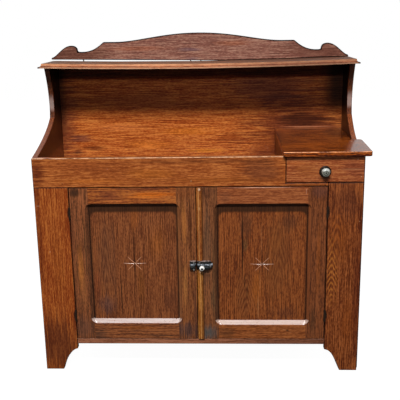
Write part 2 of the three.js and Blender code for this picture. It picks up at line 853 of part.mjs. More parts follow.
const leftDoor = makeDoor(
  "left_door", 1, leftHingeEdge, leftLockEdge, leftLockStileWidth, leftTopRailWidth,
  leftBottomRailWidth,
  inDoor(keeperScrews, leftHingeX),
);
const rightDoor = makeDoor(
  "right_door", -1, rightHingeEdge, rightLockEdge, rightLockStileWidth, rightTopRailWidth,
  rightBottomRailWidth,
  inDoor(caseScrews, rightHingeX),
);

// Meeting bead: a half-round strip up the right door's lock edge, broken by the latch
const beadHalf = beadWidth / 2;
const beadX = rightLockEdge + beadHalf - rightHingeX;

function bead(bottom, top) {
  const shape = new THREE.Shape();
  shape.moveTo(-beadHalf, 0);
  shape.lineTo(-beadHalf, -beadFlat);
  shape.bezierCurveTo(-beadHalf, -beadThickness, beadHalf, -beadThickness, beadHalf, -beadFlat);
  shape.lineTo(beadHalf, 0);
  shape.closePath();
  return extrude(shape, top - bottom).translate(beadX, 0, bottom);
}

const latchBottomInDoor = latchHeight - latchPlateHeight / 2 - doorBottom;
const latchTopInDoor = latchHeight + latchPlateHeight / 2 - doorBottom;
const lowerBead = bead(beadSetback, latchBottomInDoor - fit);
const upperBead = bead(latchTopInDoor + fit, doorHeight - beadSetback);
piece("lower_door_bead", lowerBead, "beadWood", rightDoor);
piece("upper_door_bead", upperBead, "beadWood", rightDoor);

// A latch casting: a plate with bevelled edges, its two ends rounded to their own radii
function casting(width, depth, leftRadius, rightRadius) {
  const half = latchPlateHeight / 2;
  const loop = (inset, y) => {
    const ends = [
      [width - inset, half - inset, rightRadius, 0],
      [inset, half - inset, leftRadius, 1],
      [inset, inset - half, leftRadius, 2],
      [width - inset, inset - half, rightRadius, 3],
    ];
    return ends.flatMap(([x, z, radius, quarter]) => {
      const turnX = quarter === 0 || quarter === 3 ? -radius : radius;
      const turnZ = quarter < 2 ? -radius : radius;
      const points = [];
      for (let i = 0; i <= cornerSteps; i += 1) {
        const angle = (quarter + i / cornerSteps) * (Math.PI / 2);
        const px = x + turnX + radius * Math.cos(angle);
        points.push(new THREE.Vector3(px, y, z + turnZ + radius * Math.sin(angle)));
      }
      return points;
    });
  };
  const points = [...loop(0, 0), ...loop(0, -latchRimDepth), ...loop(latchBevel, -depth)];
  return new ConvexGeometry(points);
}

// Keeper on the left door: its pocket is open to the right, where the bolt comes in
function keeper() {
  const body = casting(keeperWidth, keeperDepth, latchSmallRadius, latchSmallRadius);
  const reach = boltBack + boltDepth + 2 * boltClearance;
  const half = boltHeight / 2 + 3 * boltClearance;
  const pocket = block(
    [keeperWidth - keeperPocket, -reach, -boltDrop - half],
    [keeperWidth + overrun, overrun, half - boltDrop],
  );
  const middle = keeperLeft;
  const bores = keeperScrews.map(([x, z]) => screwPassage(x - middle, z - latchHeight));
  return carve(body, [pocket, ...bores]);
}

function screwPassage(x, z) {
  const radius = screwShankRadius + fit;
  return rodAlongY(radius, -latchCaseDepth - overrun, overrun).translate(x, 0, z);
}

// Latch case on the right door: a hollow casting round the bolt, slotted for the knob's stem
function latchCase() {
  const body = casting(latchCaseWidth, latchCaseDepth, latchSmallRadius, latchBigRadius);
  const half = boltHeight / 2 + boltClearance;
  const reach = boltBack + boltDepth + boltClearance;
  const channel = block(
    [-overrun, -reach, -boltDrop - half],
    [boltClearance + boltLength + boltClearance, overrun, half - boltDrop],
  );
  const slotHalf = knobStemRadius + boltClearance;
  const slot = block(
    [knobPlace - boltThrow - slotHalf, -latchCaseDepth - overrun, -boltDrop - slotHalf],
    [knobPlace + slotHalf, -boltBack, slotHalf - boltDrop],
  );
  const bores = caseScrews.map(([x, z]) => screwPassage(x - latchCaseLeft, z - latchHeight));
  return carve(body, [channel, slot, ...bores]);
}

const keeperMesh = piece("latch_keeper", keeper(), "castIron", leftDoor);
keeperMesh.position.set(keeperLeft - leftHingeX, 0, latchHeight - doorBottom);
const latchCaseMesh = piece("latch_case", latchCase(), "castIron", rightDoor);
latchCaseMesh.position.set(latchCaseLeft - rightHingeX, 0, latchHeight - doorBottom);

// A round-headed screw that stands out of the door by the plate's own thickness
function plateScrew(depth) {
  const head = depth + fit;
  const profile = [
    [0, -screwGrip],
    [screwShankRadius, -screwGrip],
    [screwShankRadius, head],
    [screwHeadRadius, head],
    [screwHeadRadius * Math.SQRT1_2, head + screwHeadHeight],
    [0, head + screwHeadHeight],
  ];
  return turnedOut(profile);
}

// How far a casting's sloped face stands out under a screw head, at its highest
function faceUnder(share, width, depth) {
  const [across, up] = share;
  const fromEnd = Math.min(across, 1 - across) * width + screwHeadRadius;
  const fromEdge = Math.min(up, 1 - up) * latchPlateHeight + screwHeadRadius;
  const rise = Math.min(fromEnd, fromEdge, latchBevel) / latchBevel;
  return latchRimDepth + rise * (depth - latchRimDepth);
}

function plateScrews(prefix, places, shares, width, depth, hingeX, door) {
  places.forEach(([x, z], i) => {
    const screw = plateScrew(faceUnder(shares[i], width, depth));
    const mesh = piece(`${prefix}_screw_${i + 1}`, screw, "hingeIron", door);
    mesh.position.set(x - hingeX, 0, z - doorBottom);
  });
}

plateScrews(
  "keeper", keeperScrews, keeperScrewShares, keeperWidth, keeperDepth, leftHingeX, leftDoor,
);
plateScrews(
  "latch_case", caseScrews, caseScrewShares, latchCaseWidth, latchCaseDepth, rightHingeX,
  rightDoor,
);

// Latch bolt and knob: the bolt slides in the case, and its stem carries a porcelain knob.
// It is laid out drawn back, clear of the keeper, so that either door can open.
const knobX = latchCaseLeft + knobPlace;
const knobZ = latchHeight - boltDrop;
const stemEnd = latchCaseDepth + fit + porcelainLength + screwHeadHeight;

function bolt() {
  const nose = latchCaseLeft + boltClearance - knobX;
  const bar = block(
    [nose, -boltBack - boltDepth, -boltHeight / 2],
    [nose + boltLength, -boltBack, boltHeight / 2],
  );
  return join([bar, rodAlongY(knobStemRadius, -stemEnd, -boltBack - boltDepth / 2)]);
}

function porcelainKnob() {
  const base = latchCaseDepth + fit;
  const bore = knobStemRadius + fit;
  const outline = porcelainShares.map(([r, h]) => [
    r * porcelainRadius,
    base + h * porcelainLength,
  ]);
  const profile = [
    [bore, base],
    ...outline,
    [bore, base + porcelainLength],
    [bore, base],
  ];
  return turnedOut(profile);
}

piece("latch_bolt", bolt(), "hingeIron").position.set(knobX, 0, knobZ);
piece("latch_knob", porcelainKnob(), "porcelain").position.set(knobX, 0, knobZ);

// Drawer: a lapped front on a plain box, whose bottom slides in grooves under the back
const drawer = new THREE.Group();
const drawerLeft = apronEnd + drawerFrontGap;
const drawerRight = frameRight - drawerFrontGap / 2;
const drawerFrontBottom = deckTop + drawerBottomGap;
const drawerFrontHeight = rimHeight - drawerTopGap - drawerFrontBottom;
const drawerMiddle = (drawerLeft + drawerRight) / 2;
drawer.position.set(drawerMiddle, 0, drawerFrontBottom);
cabinet.add(drawer);

const boxLeft = dividerRight + drawerBoxGap - drawerMiddle;
const boxRight = sideInner - drawerBoxGap - drawerMiddle;
const boxBottom = deckTop + fit - drawerFrontBottom;
const boxFront = frontThickness - fit;
const boxBack = backFace - drawerBackClearance;
const bottomBoardLow = boxBottom + drawerBottomRise;
const bottomBoardHigh = bottomBoardLow + drawerBottomThickness;
const grooveLow = bottomBoardLow - fit;
const grooveHigh = bottomBoardHigh + fit;
const innerLeft = boxLeft + drawerSideThickness;
const innerRight = boxRight - drawerSideThickness;
const knobHeight = drawerFrontHeight / 2 - drawerKnobDrop;
const drawerGroove = block(
  [innerLeft - drawerGrooveDepth, boxFront - drawerGrooveDepth, grooveLow],
  [innerRight + drawerGrooveDepth, boxBack + overrun, grooveHigh],
);

function drawerFront() {
  const board = block(
    [drawerLeft - drawerMiddle, 0, 0],
    [drawerRight - drawerMiddle, boxFront, drawerFrontHeight],
  );
  const shankRadius = drawerShankRadius + fit;
  const bore = rodAlongY(shankRadius, -overrun, boxFront + overrun).translate(0, 0, knobHeight);
  return carve(board, [drawerGroove, bore]);
}

function drawerSide(outer, inner) {
  const top = boxBottom + drawerSideHeight;
  const board = block([outer, boxFront, boxBottom], [inner, boxBack, top]);
  return carve(board, [drawerGroove]);
}

function drawerBack() {
  const low = [innerLeft, boxBack - drawerSideThickness, grooveHigh];
  return block(low, [innerRight, boxBack, boxBottom + drawerSideHeight - drawerBackDrop]);
}

function drawerBottomBoard() {
  const reach = drawerGrooveDepth - fit;
  return block(
    [innerLeft - reach, boxFront - reach, bottomBoardLow],
    [innerRight + reach, boxBack, bottomBoardHigh],
  );
}

piece("drawer_front", drawerFront(), "caseWood", drawer);
piece("drawer_left_side", drawerSide(boxLeft, innerLeft), "rawWood", drawer);
piece("drawer_right_side", drawerSide(boxRight, innerRight), "rawWood", drawer);
piece("drawer_back", drawerBack(), "rawWood", drawer);
piece("drawer_bottom", drawerBottomBoard(), "rawWood", drawer);

// Drawer knob: a ringed metal dome before a dark rosette, its shank held by a nut inside
function rosette() {
  const bore = drawerShankRadius + fit;
  const outline = rosetteShares.map(([r, h]) => [r * rosetteRadius, fit + h * rosetteThickness]);
  const profile = [[bore, fit], ...outline, [bore, fit + rosetteThickness], [bore, fit]];
  return turnedOut(profile);
}

function drawerKnob() {
  const base = rosetteThickness + 2 * fit;
  const shankEnd = -boxFront - fit - drawerNutThickness - drawerShankRadius;
  const outline = drawerKnobShares.map(([r, h]) => [
    r * drawerKnobRadius,
    base + h * drawerKnobLength,
  ]);
  const profile = [
    [0, shankEnd],
    [drawerShankRadius, shankEnd],
    [drawerShankRadius, base],
    ...outline,
    [0, base + drawerKnobLength],
  ];
  return turnedOut(profile);
}

function knobNut() {
  const bore = drawerShankRadius + fit;
  const near = -boxFront - fit;
  const far = near - drawerNutThickness;
  return turnedOut([
    [bore, far],
    [drawerNutRadius, far],
    [drawerNutRadius, near],
    [bore, near],
    [bore, far],
  ]);
}

piece("drawer_knob_rosette", rosette(), "darkMetal", drawer).position.z = knobHeight;
piece("drawer_knob", drawerKnob(), "knobMetal", drawer).position.z = knobHeight;
piece("drawer_knob_nut", knobNut(), "darkMetal", drawer).position.z = knobHeight;

// Bring the origin to the middle of the base
const bounds = new THREE.Box3().setFromObject(cabinet, true);
const centre = bounds.getCenter(new THREE.Vector3());
cabinet.position.set(-centre.x, -centre.y, -bounds.min.z);

export default cabinet;
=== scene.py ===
import math

import bpy
from mathutils import Matrix, Vector


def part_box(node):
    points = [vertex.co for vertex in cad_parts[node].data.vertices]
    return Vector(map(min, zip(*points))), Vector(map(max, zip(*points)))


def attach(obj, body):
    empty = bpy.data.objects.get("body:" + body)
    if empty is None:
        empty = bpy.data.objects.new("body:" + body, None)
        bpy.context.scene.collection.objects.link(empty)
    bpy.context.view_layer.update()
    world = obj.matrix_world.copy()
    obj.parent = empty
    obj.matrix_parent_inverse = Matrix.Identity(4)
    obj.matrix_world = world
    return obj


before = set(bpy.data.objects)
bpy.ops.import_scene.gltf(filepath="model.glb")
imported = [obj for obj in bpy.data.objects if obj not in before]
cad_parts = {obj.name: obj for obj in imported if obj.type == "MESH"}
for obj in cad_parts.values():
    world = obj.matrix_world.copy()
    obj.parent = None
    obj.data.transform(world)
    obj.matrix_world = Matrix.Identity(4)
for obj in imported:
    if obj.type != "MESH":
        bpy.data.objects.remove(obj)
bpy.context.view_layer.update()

# Camera
# It stands where the photograph was taken from: a little right of the middle, 2.6 m in front
# of the doors and 1.44 m up, looking down at the cabinet. Places are in metres.
camera_place = Vector((0.0998, -2.7926, 1.439))
camera_turn = {"yaw": -2.906, "pitch": -14.636, "roll": -1.188}
focal_pixels = 727.54
optical_centre = (189.21, 180.13)
photo_width = 400
sensor_width = 36


def placed(name, data):
    """Put an object with this data in the scene."""
    made = bpy.data.objects.new(name, data)
    bpy.context.scene.collection.objects.link(made)
    return made


def photo_camera():
    yaw, pitch, roll = (math.radians(camera_turn[name]) for name in ("yaw", "pitch", "roll"))
    forward = Vector(
        (math.sin(yaw) * math.cos(pitch), math.cos(yaw) * math.cos(pitch), math.sin(pitch))
    )
    level = Vector((math.cos(yaw), -math.sin(yaw), 0))
    above = level.cross(forward)
    right = math.cos(roll) * level + math.sin(roll) * above
    up = math.cos(roll) * above - math.sin(roll) * level
    data = bpy.data.cameras.new("photo_camera")
    data.sensor_width = sensor_width
    data.lens = focal_pixels / photo_width * sensor_width
    data.shift_x = (photo_width / 2 - optical_centre[0]) / photo_width
    data.shift_y = (optical_centre[1] - photo_width / 2) / photo_width
    camera = placed("photo_camera", data)
    camera.matrix_world = Matrix.Translation(camera_place) @ Matrix(
        (right, up, -forward)
    ).transposed().to_4x4()
    bpy.context.scene.camera = camera


photo_camera()
bpy.context.scene.view_settings.view_transform = "Standard"

# Floor and studio
# A plain pale floor under a white surround. A wide soft box high in front is the main light, and a
# small low lamp gives the crisp shadow under the shelf. Two more lamps light the sides and the
# back, and the varnish doesn't mirror those.
floor_reach = 7
floor_seen = "ececea"
floor_bounce = "5c5c5a"
floor_glow = 1.1
floor_shade_share = 0.12
floor_shade_reach = (1.7, 0.8)
surround_level = 0.035
front_mirror_level = 0.02
back_mirror_level = 0.65
mirror_turn = (-0.1, 0.35)
softbox = {"place": (-0.1, -4.2, 5.6), "size": (2.6, 0.9), "power": 500}
low_lamp = {"place": (0.1, -3.1, 2.16), "size": (0.12, 0.12), "power": 13}
side_lamp = {"size": (1.2, 1.2), "power": 75}
side_lamp_places = {"left_lamp": (-3.2, 1.6, 1.1), "right_lamp": (3.2, 1.6, 1.1)}
lamp_aim = Vector((0, 0, 0.75))


class Wire:
    """One output of a node tree, on which arithmetic adds Math nodes."""

    def __init__(self, finish, socket):
        self.finish = finish
        self.socket = socket

    def math(self, operation, *values):
        return self.finish.node("ShaderNodeMath", {"operation": operation}, dict(enumerate(values)))

    def __add__(self, other):
        return self.math("ADD", self, other)

    def __radd__(self, other):
        return self.math("ADD", other, self)

    def __sub__(self, other):
        return self.math("SUBTRACT", self, other)

    def __rsub__(self, other):
        return self.math("SUBTRACT", other, self)

    def __mul__(self, other):
        return self.math("MULTIPLY", self, other)

    def __rmul__(self, other):
        return self.math("MULTIPLY", other, self)

    def __abs__(self):
        return self.math("ABSOLUTE", self)

    def sine(self):
        return self.math("SINE", self)

    def at_least(self, low):
        return self.math("MAXIMUM", self, low)


class Finish:
    """One node tree under way: a material's, the surround's or a nail head's."""

    def __init__(self, name, tree=None):
        self.material = None
        if tree is None:
            self.material = bpy.data.materials.new(name)
            self.material.use_nodes = True
            tree = self.material.node_tree
        self.tree = tree
        self.tree.nodes.clear()

    def node(self, kind, settings=None, sockets=None, output=0):
        made = self.tree.nodes.new(kind)
        for name, value in (settings or {}).items():
            if name == "stops":
                ramp = made.color_ramp
                while len(ramp.elements) < len(value):
                    ramp.elements.new(1)
                for element, (position, shade) in zip(ramp.elements, value):
                    element.position = position
                    element.color = shade
            else:
                setattr(made, name, value)
        for name, value in (sockets or {}).items():
            if isinstance(value, Wire):
                self.tree.links.new(value.socket, made.inputs[name])
            else:
                made.inputs[name].default_value = value
        return Wire(self, made.outputs[output])

    def smooth(self, value, low, high):
        return self.node(
            "ShaderNodeMapRange",
            {"interpolation_type": "SMOOTHSTEP"},
            {"Value": value, "From Min": low, "From Max": high},
        )

    def band(self, value, low, high, soft):
        """1 between two edges and 0 outside them."""
        rise = self.smooth(value, low - soft, low + soft)
        return rise * self.smooth(value, high + soft, high - soft)

    def vector(self, operation, first, second=None, output="Vector"):
        sockets = {0: first} if second is None else {0: first, 1: second}
        return self.node("ShaderNodeVectorMath", {"operation": operation}, sockets, output)

    def blend(self, factor, first, second, way="MIX"):
        """Mix two colours. Each is a hex code, a colour's own values or another node's colour."""
        first, second = (
            colour(shade) if isinstance(shade, str) else shade for shade in (first, second)
        )
        settings = {"data_type": "RGBA", "blend_type": way}
        return self.node("ShaderNodeMix", settings, {0: factor, 6: first, 7: second}, 2)

    def stained(self, paint, *stains):
        """Blend one colour after another over the paint, each where its own mask says."""
        for mask, code in stains:
            paint = self.blend(mask, paint, code)
        return paint

    def noise(self, where, scale=1, detail=3, roughness=0.55):
        return self.node(
            "ShaderNodeTexNoise", {},
            {"Vector": where, "Scale": scale, "Detail": detail, "Roughness": roughness},
        )

    def place(self):
        return self.node("ShaderNodeTexCoord", output="Object")

    def part(self, vector, axis):
        return self.node("ShaderNodeSeparateXYZ", {}, {0: vector}, axis)

    def facing(self, axis):
        return self.part(self.node("ShaderNodeTexCoord", output="Normal"), axis)

    def front_reach(self, offset):
        """How far a point lies from a middle, as seen from the front."""
        flat = self.vector("MULTIPLY", offset, Vector((1, 0, 1)))
        return self.vector("LENGTH", flat, output="Value")

    def bump(self, height, strength=0.2, distance=0.0002):
        sockets = {"Strength": strength, "Distance": distance, "Height": height}
        return self.node("ShaderNodeBump", {}, sockets)

    def surface(self, shader, kind="ShaderNodeOutputMaterial"):
        end = self.tree.nodes.new(kind)
        self.tree.links.new(shader.socket, end.inputs["Surface"])
        return self.material

    def solid(self, sockets):
        return self.surface(self.node("ShaderNodeBsdfPrincipled", {}, sockets))


def colour(code):
    parts = [int(code[i:i + 2], 16) / 255 for i in (0, 2, 4)]
    linear = [p / 12.92 if p <= 0.04045 else ((p + 0.055) / 1.055) ** 2.4 for p in parts]
    return (*linear, 1)


def studio_floor():
    mesh = bpy.data.meshes.new("studio_floor")
    r = floor_reach
    mesh.from_pydata([(-r, -r, 0), (r, -r, 0), (r, r, 0), (-r, r, 0)], [], [(0, 1, 2, 3)])
    floor = placed("studio_floor", mesh)
    paint = Finish("floor_paint")
    seen = paint.node("ShaderNodeLightPath", output="Is Camera Ray")
    pale = paint.blend(seen, floor_bounce, floor_seen)
    cloth = paint.node("ShaderNodeBsdfDiffuse", {}, {"Color": pale})
    glow = paint.node("ShaderNodeEmission", {}, {"Color": (1, 1, 1, 1), "Strength": floor_glow})
    near = paint.smooth(paint.vector("LENGTH", paint.place(), output="Value"), *floor_shade_reach)
    share = seen * (1 - near * floor_shade_share)
    mixed = paint.node("ShaderNodeMixShader", {}, {0: share, 1: cloth, 2: glow})
    mesh.materials.append(paint.surface(mixed))


def studio_surround():
    world = bpy.data.worlds.new("surround")
    world.use_nodes = True
    bpy.context.scene.world = world
    air = Finish("surround", world.node_tree)
    seen, glossy, clear = (
        air.node("ShaderNodeLightPath", output=f"Is {ray} Ray")
        for ray in ("Camera", "Glossy", "Transmission")
    )
    way = air.node("ShaderNodeTexCoord", output="Generated")
    back = air.smooth(air.part(way, "Y"), *mirror_turn)
    mirrored = front_mirror_level + (back_mirror_level - front_mirror_level) * back
    shown = air.node("ShaderNodeClamp", {}, {"Value": seen + clear})
    strength = shown + (1 - shown) * (glossy * mirrored + (1 - glossy) * surround_level)
    light = air.node("ShaderNodeBackground", {}, {"Color": (1, 1, 1, 1), "Strength": strength})
    air.surface(light, "ShaderNodeOutputWorld")


def area_lamp(name, place, size, power):
    data = bpy.data.lights.new(name, "AREA")
    data.shape = "RECTANGLE"
    data.size, data.size_y = size
    data.energy = power
    lamp = placed(name, data)
    lamp.location = place
    lamp.rotation_euler = (lamp_aim - Vector(place)).to_track_quat("-Z", "Y").to_euler()
    return lamp


studio_floor()
studio_surround()
area_lamp("softbox", **softbox)
area_lamp("low_lamp", **low_lamp)
for lamp_name, lamp_place in side_lamp_places.items():
    area_lamp(lamp_name, lamp_place, **side_lamp).visible_glossy = False

# Side boards
# Each is one wide pine board from the foot to the top shelf, sawn to a cheek above the rim and
# to feet below, and varnished a red brown. The sawn edges have gone dark with handling.
varnish_coat = 0.25
varnish_coat_roughness = 0.13
varnish_specular = 0.2
varnish_bump = (0.25, 0.0006)
plane_axes = {"XZ": (0, 2), "XY": (0, 1), "YZ": (1, 2)}
streak_share = 4.1
fleck_share = 1.7
medium_share = 0.8
broad_share = 0.6
ring_share = 0.15
grain_shade = "160a05"
grit_shade = "120805"
weld_reach = 0.00002
flat_angle = math.radians(0.5)
arris_angle = math.radians(40)
side_arris = 0.0015
cheek_start = (0.8, 0.83)
cheek_deep_shade = (0.88, 1.0)
cheek_sheen_band = ((0.965, 0.99), (1.05, 1.01))


def on_plane(plane, pair):
    """A pair of values along the plane's two axes, and nothing along the third."""
    point = [0, 0, 0]
    for axis, value in zip(plane_axes[plane], pair):
        point[axis] = value
    return Vector(point)


def from_centre(wood, place, plane, centre, radii):
    """Where a point lies from the centre of a mark, counted in the mark's radii."""
    offset = wood.vector("SUBTRACT", place, on_plane(plane, centre))
    return wood.vector("MULTIPLY", offset, on_plane(plane, [1 / radius for radius in radii]))


def patch(wood, place, ragged, plane, centre, radii, raggedness=0.5):
    """A soft-edged mark on a board, 1 in its middle and 0 outside."""
    offset = from_centre(wood, place, plane, centre, radii)
    reach = wood.vector("LENGTH", offset, output="Value")
    return wood.smooth(reach + ragged * raggedness, 1.0, 0.25)


def arches(wood, place, warp, plane, centre, spacing):
    """Lines of a flat-sawn board's pointed figure, which nest over each other."""
    offset = from_centre(wood, place, plane, centre, spacing)
    across, along = (wood.part(offset, "XYZ"[axis]) for axis in plane_axes[plane])
    round_top = wood.node("ShaderNodeCombineXYZ", {}, {0: across, 1: 0.8})
    flank = wood.vector("LENGTH", round_top, output="Value")
    phase = (flank + along) * (2 * math.pi) + warp
    return wood.smooth(phase.sine(), -0.3, 1.0)


def varnished(
    name, along, tones, seed, gloss=0.38, contrast=1.0, rings=0.6, ring_width=0.009, wave=0.003,
    length=0.09, blotch=1.0, coat=varnish_coat, plane="XZ", spots=(), figures=(), extra=None,
):
    """A varnished board: grain along one axis, a dark, middle and light tone, and its marks. A
    spot has a centre, two radii, a colour, a strength and, where it isn't 0.5, how ragged it is.
    A figure has a centre, two radii, two spacings, two colours and a strength."""
    wood = Finish(name)
    place = wood.place()
    axis = "XYZ".index(along)

    def grain(where, along_grain, across_grain, shift, detail=2, roughness=0.55):
        scale = [1 / across_grain] * 3
        scale[axis] = 1 / along_grain
        moved = Vector((seed * 3.7 + shift, seed * 1.9 + shift, seed * 2.3 + shift))
        stretched = wood.node(
            "ShaderNodeMapping", {}, {"Vector": where, "Location": moved, "Scale": Vector(scale)}
        )
        return wood.noise(stretched, detail=detail, roughness=roughness)

    sway = grain(place, 0.22, 0.07, 13)
    aside = [wave] * 3
    aside[axis] = 0
    pushed = wood.node("ShaderNodeCombineXYZ", {}, {i: (sway - 0.5) * aside[i] for i in range(3)})
    bent = wood.vector("ADD", place, pushed)
    broad = grain(bent, 0.26, 0.05, 0)
    medium = grain(bent, 0.3, 0.006, 3)
    streak = grain(bent, length, 0.0024, 5, 3, 0.65)
    fleck = grain(bent, 0.012, 0.0034, 17, 1)
    pores = grain(bent, 0.018, 0.001, 9)
    width = wood.part(bent, "Z" if along == "X" else "X")
    depth = wood.part(bent, "Z" if along == "Y" else "Y")
    phase = (width + depth * 0.6) * (2 * math.pi / ring_width) + sway * 9 + broad * 6
    tone = (
        0.5
        + (streak - 0.5) * (streak_share * contrast)
        + (fleck - 0.5) * (fleck_share * contrast)
        + (medium - 0.5) * (medium_share * contrast * blotch)
        + (broad - 0.5) * (broad_share * contrast * blotch)
        + phase.sine() * (ring_share * rings)
    )
    dark, middle, light = (colour(code) for code in tones)
    paint = wood.node(
        "ShaderNodeValToRGB", {"stops": [(0.1, dark), (0.5, middle), (0.9, light)]}, {"Fac": tone}
    )
    ragged = (broad - 0.5) * 2.2 + (medium - 0.5) * 2.4 + (streak - 0.5) * 1.6
    deepened = wood.smooth(tone, 0.85, 0.1) * 0.45
    for centre, radii, code, strength, *raggedness in spots:
        mark = patch(wood, place, ragged, plane, centre, radii, *raggedness) * strength
        paint = wood.blend(mark, paint, wood.blend(deepened, code, grain_shade))
    for centre, radii, spacing, codes, strength in figures:
        warp = (sway - 0.5) * 11 + (broad - 0.5) * 14 + (streak - 0.5) * 9
        lines = arches(wood, place, warp, plane, centre, spacing)
        mark = patch(wood, place, ragged, plane, centre, radii)
        paint = wood.blend(mark * strength, paint, wood.blend(lines, *codes))
    sheen = coat
    if extra:
        paint, sheen = extra(wood, place, paint, streak, coat)
    paint = wood.blend(wood.smooth(pores, 0.55, 0.72) * 0.4, paint, dark, "MULTIPLY")
    return wood.solid({
        "Base Color": paint,
        "Roughness": gloss + (streak - 0.5) * 0.16,
        "Normal": wood.bump(streak * 0.7 + pores * 0.5, *varnish_bump),
        "Specular IOR Level": varnish_specular,
        "Coat Weight": sheen,
        "Coat Roughness": varnish_coat_roughness,
    })


def dress(node, material):
    """Give a piece its finish in place of the plain one that it came with."""
    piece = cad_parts[node]
    piece.data.materials.clear()
    piece.data.materials.append(material)
    return piece


def ease(node, width, material, arris=None):
    """Round a piece's sharp edges a little and give it its finish."""
    piece = dress(node, material)
    weld = piece.modifiers.new("weld", "WELD")
    weld.merge_threshold = weld_reach
    merge = piece.modifiers.new("merge", "DECIMATE")
    merge.decimate_type = "DISSOLVE"
    merge.angle_limit = flat_angle
    bevel = piece.modifiers.new("arris", "BEVEL")
    bevel.width = width
    bevel.segments = 2
    bevel.limit_method = "ANGLE"
    bevel.angle_limit = arris_angle
    if arris:
        piece.data.materials.append(arris)
        bevel.material = 1
    return piece


def board(node, width, along, tones, seed, arris=None, **grain):
    """Ease a board's edges, varnish its faces, and give the edges a finish of their own."""
    return ease(node, width, varnished(f"{node}_wood", along, tones, seed, **grain), arris)


def edge_wear_and_highlight(name, code, gloss=0.42, sheen=1.0, top=None, top_code=None):
    """The handled edge of a board. Where a height is given, a paler line runs along the front above
    it, partly wear and partly painted highlight.
    """
    edge = Finish(name)
    place = edge.place()
    grit = edge.noise(place, 160, 4, 0.6)
    paint = edge.blend(edge.smooth(grit, 0.35, 0.7), code, grit_shade)
    if top is not None:
        wear = edge.noise(place, 34, 4, 0.65)
        front = edge.smooth(edge.facing("Y"), -0.1, -0.4)
        line = edge.smooth(edge.part(place, "Z"), top - 0.0004, top + 0.0002)
        paint = edge.blend(line * edge.smooth(wear, 0.3, 0.62) * front, paint, top_code)
    return edge.solid({
        "Base Color": paint,
        "Roughness": gloss + (grit - 0.5) * 0.2,
        "Specular IOR Level": varnish_specular * sheen,
        "Coat Weight": varnish_coat * sheen,
        "Coat Roughness": varnish_coat_roughness,
    })


def cheek_shade_and_sheen(inward):
    """Painted shade on the cheek's face towards the well, near black at its top. The cheek's front
    edge is darker, and a pale band on its hollow is partly wear and partly painted sheen.
    """
    def extra(wood, place, paint, streak, coat):
        height = wood.part(place, "Z")
        cheek = wood.smooth(height, *cheek_start)
        edge = wood.smooth(wood.facing("Y"), -0.6, -0.85)
        inner = wood.smooth(wood.facing("X") * inward, 0.5, 0.8) * cheek
        high = inner * wood.smooth(height, *cheek_deep_shade)
        wear_and_sheen = wood.smooth(height, *cheek_sheen_band[0]) * wood.smooth(height, *cheek_sheen_band[1])
        # The dark on the face towards the well is painted shade; the pale band on the front edge is
        # partly painted sheen.
        paint = wood.stained(
            paint, (inner * 0.7, "280902"), (high * 0.95, "070302"),
            (edge * cheek * 0.55, "2e1710"), (wear_and_sheen * edge * 0.35, "d8c0b8"),
        )
        return paint, coat * (1 - inner)
    return extra


dark_edge = edge_wear_and_highlight("dark_edge", "34170d")
warm_edge = edge_wear_and_highlight("warm_edge", "6a2f17")
case_tones = ("54240e", "733618", "955229")
# Painted shade: the dark spot high at the back of each board stands for the shade under the shelf,
# and it shows on both faces.
for side, seed, inward in (("left", 1, 1), ("right", 2, -1)):
    board(
        f"{side}_side_board", side_arris, "Z", case_tones, seed, warm_edge, plane="YZ",
        extra=cheek_shade_and_sheen(inward),
        spots=[((0.2, 1.06), (0.14, 0.16), "35170c", 0.7), ((0, 0.05), (0.3, 0.1), "4e2412", 0.5)],
    )

# Front stiles
# Wide vertical boards nailed over the front edges of the sides, each sawn to a foot. The left one
# is brighter, with straight grain; the right one is darker, with arched figure by the door.
front_arris = 0.0018
hinge_heights = (0.643, 0.2315)
hinge_shadow_radii = (0.0045, 0.021)


def hinge_shadows(across):
    """Painted shadow on a stile beside the knuckles of a door's two hinges."""
    return [((across, height), hinge_shadow_radii, "140b07", 0.9, 0.1) for height in hinge_heights]


board(
    "left_front_stile", front_arris, "Z", ("752e0a", "904317", "b3652a"), 3, dark_edge,
    rings=0.8, ring_width=0.0065, contrast=0.8, wave=0.004,
    spots=[
        ((-0.545, 0.1), (0.1, 0.19), "622e17", 0.75),
        ((-0.6, 0.6), (0.014, 0.42), "67250a", 0.55),
        ((-0.535, 0.45), (0.03, 0.2), "a1531d", 0.35),
        ((-0.597, 0.672), (0.008, 0.0016), "d8a888", 0.7, 0.2),
        ((-0.564, 0.491), (0.0016, 0.004), "e0b090", 0.8, 0.1),
        *hinge_shadows(-0.485),
    ],
)
board(
    "right_front_stile", front_arris, "Z", ("562309", "743816", "9d572a"), 4, dark_edge,
    rings=0.9, ring_width=0.008,
    spots=[
        ((0.537, 0.68), (0.07, 0.1), "68341e", 0.6),
        ((0.588, 0.35), (0.02, 0.42), "4d1005", 0.6),
        ((0.53, 0.52), (0.035, 0.12), "854113", 0.5),
        ((0.56, 0.2), (0.04, 0.12), "8c420f", 0.45),
        ((0.592, 0.606), (0.002, 0.0022), "e0b088", 0.7, 0.1),
        *hinge_shadows(0.48),
    ],
    figures=[
        ((0.497, 0.42), (0.03, 0.15), (0.0095, 0.024), ("5c260e", "c87a30"), 0.5),
        ((0.512, 0.56), (0.03, 0.15), (0.01, 0.05), ("58260f", "a8581f"), 0.45),
    ],
)
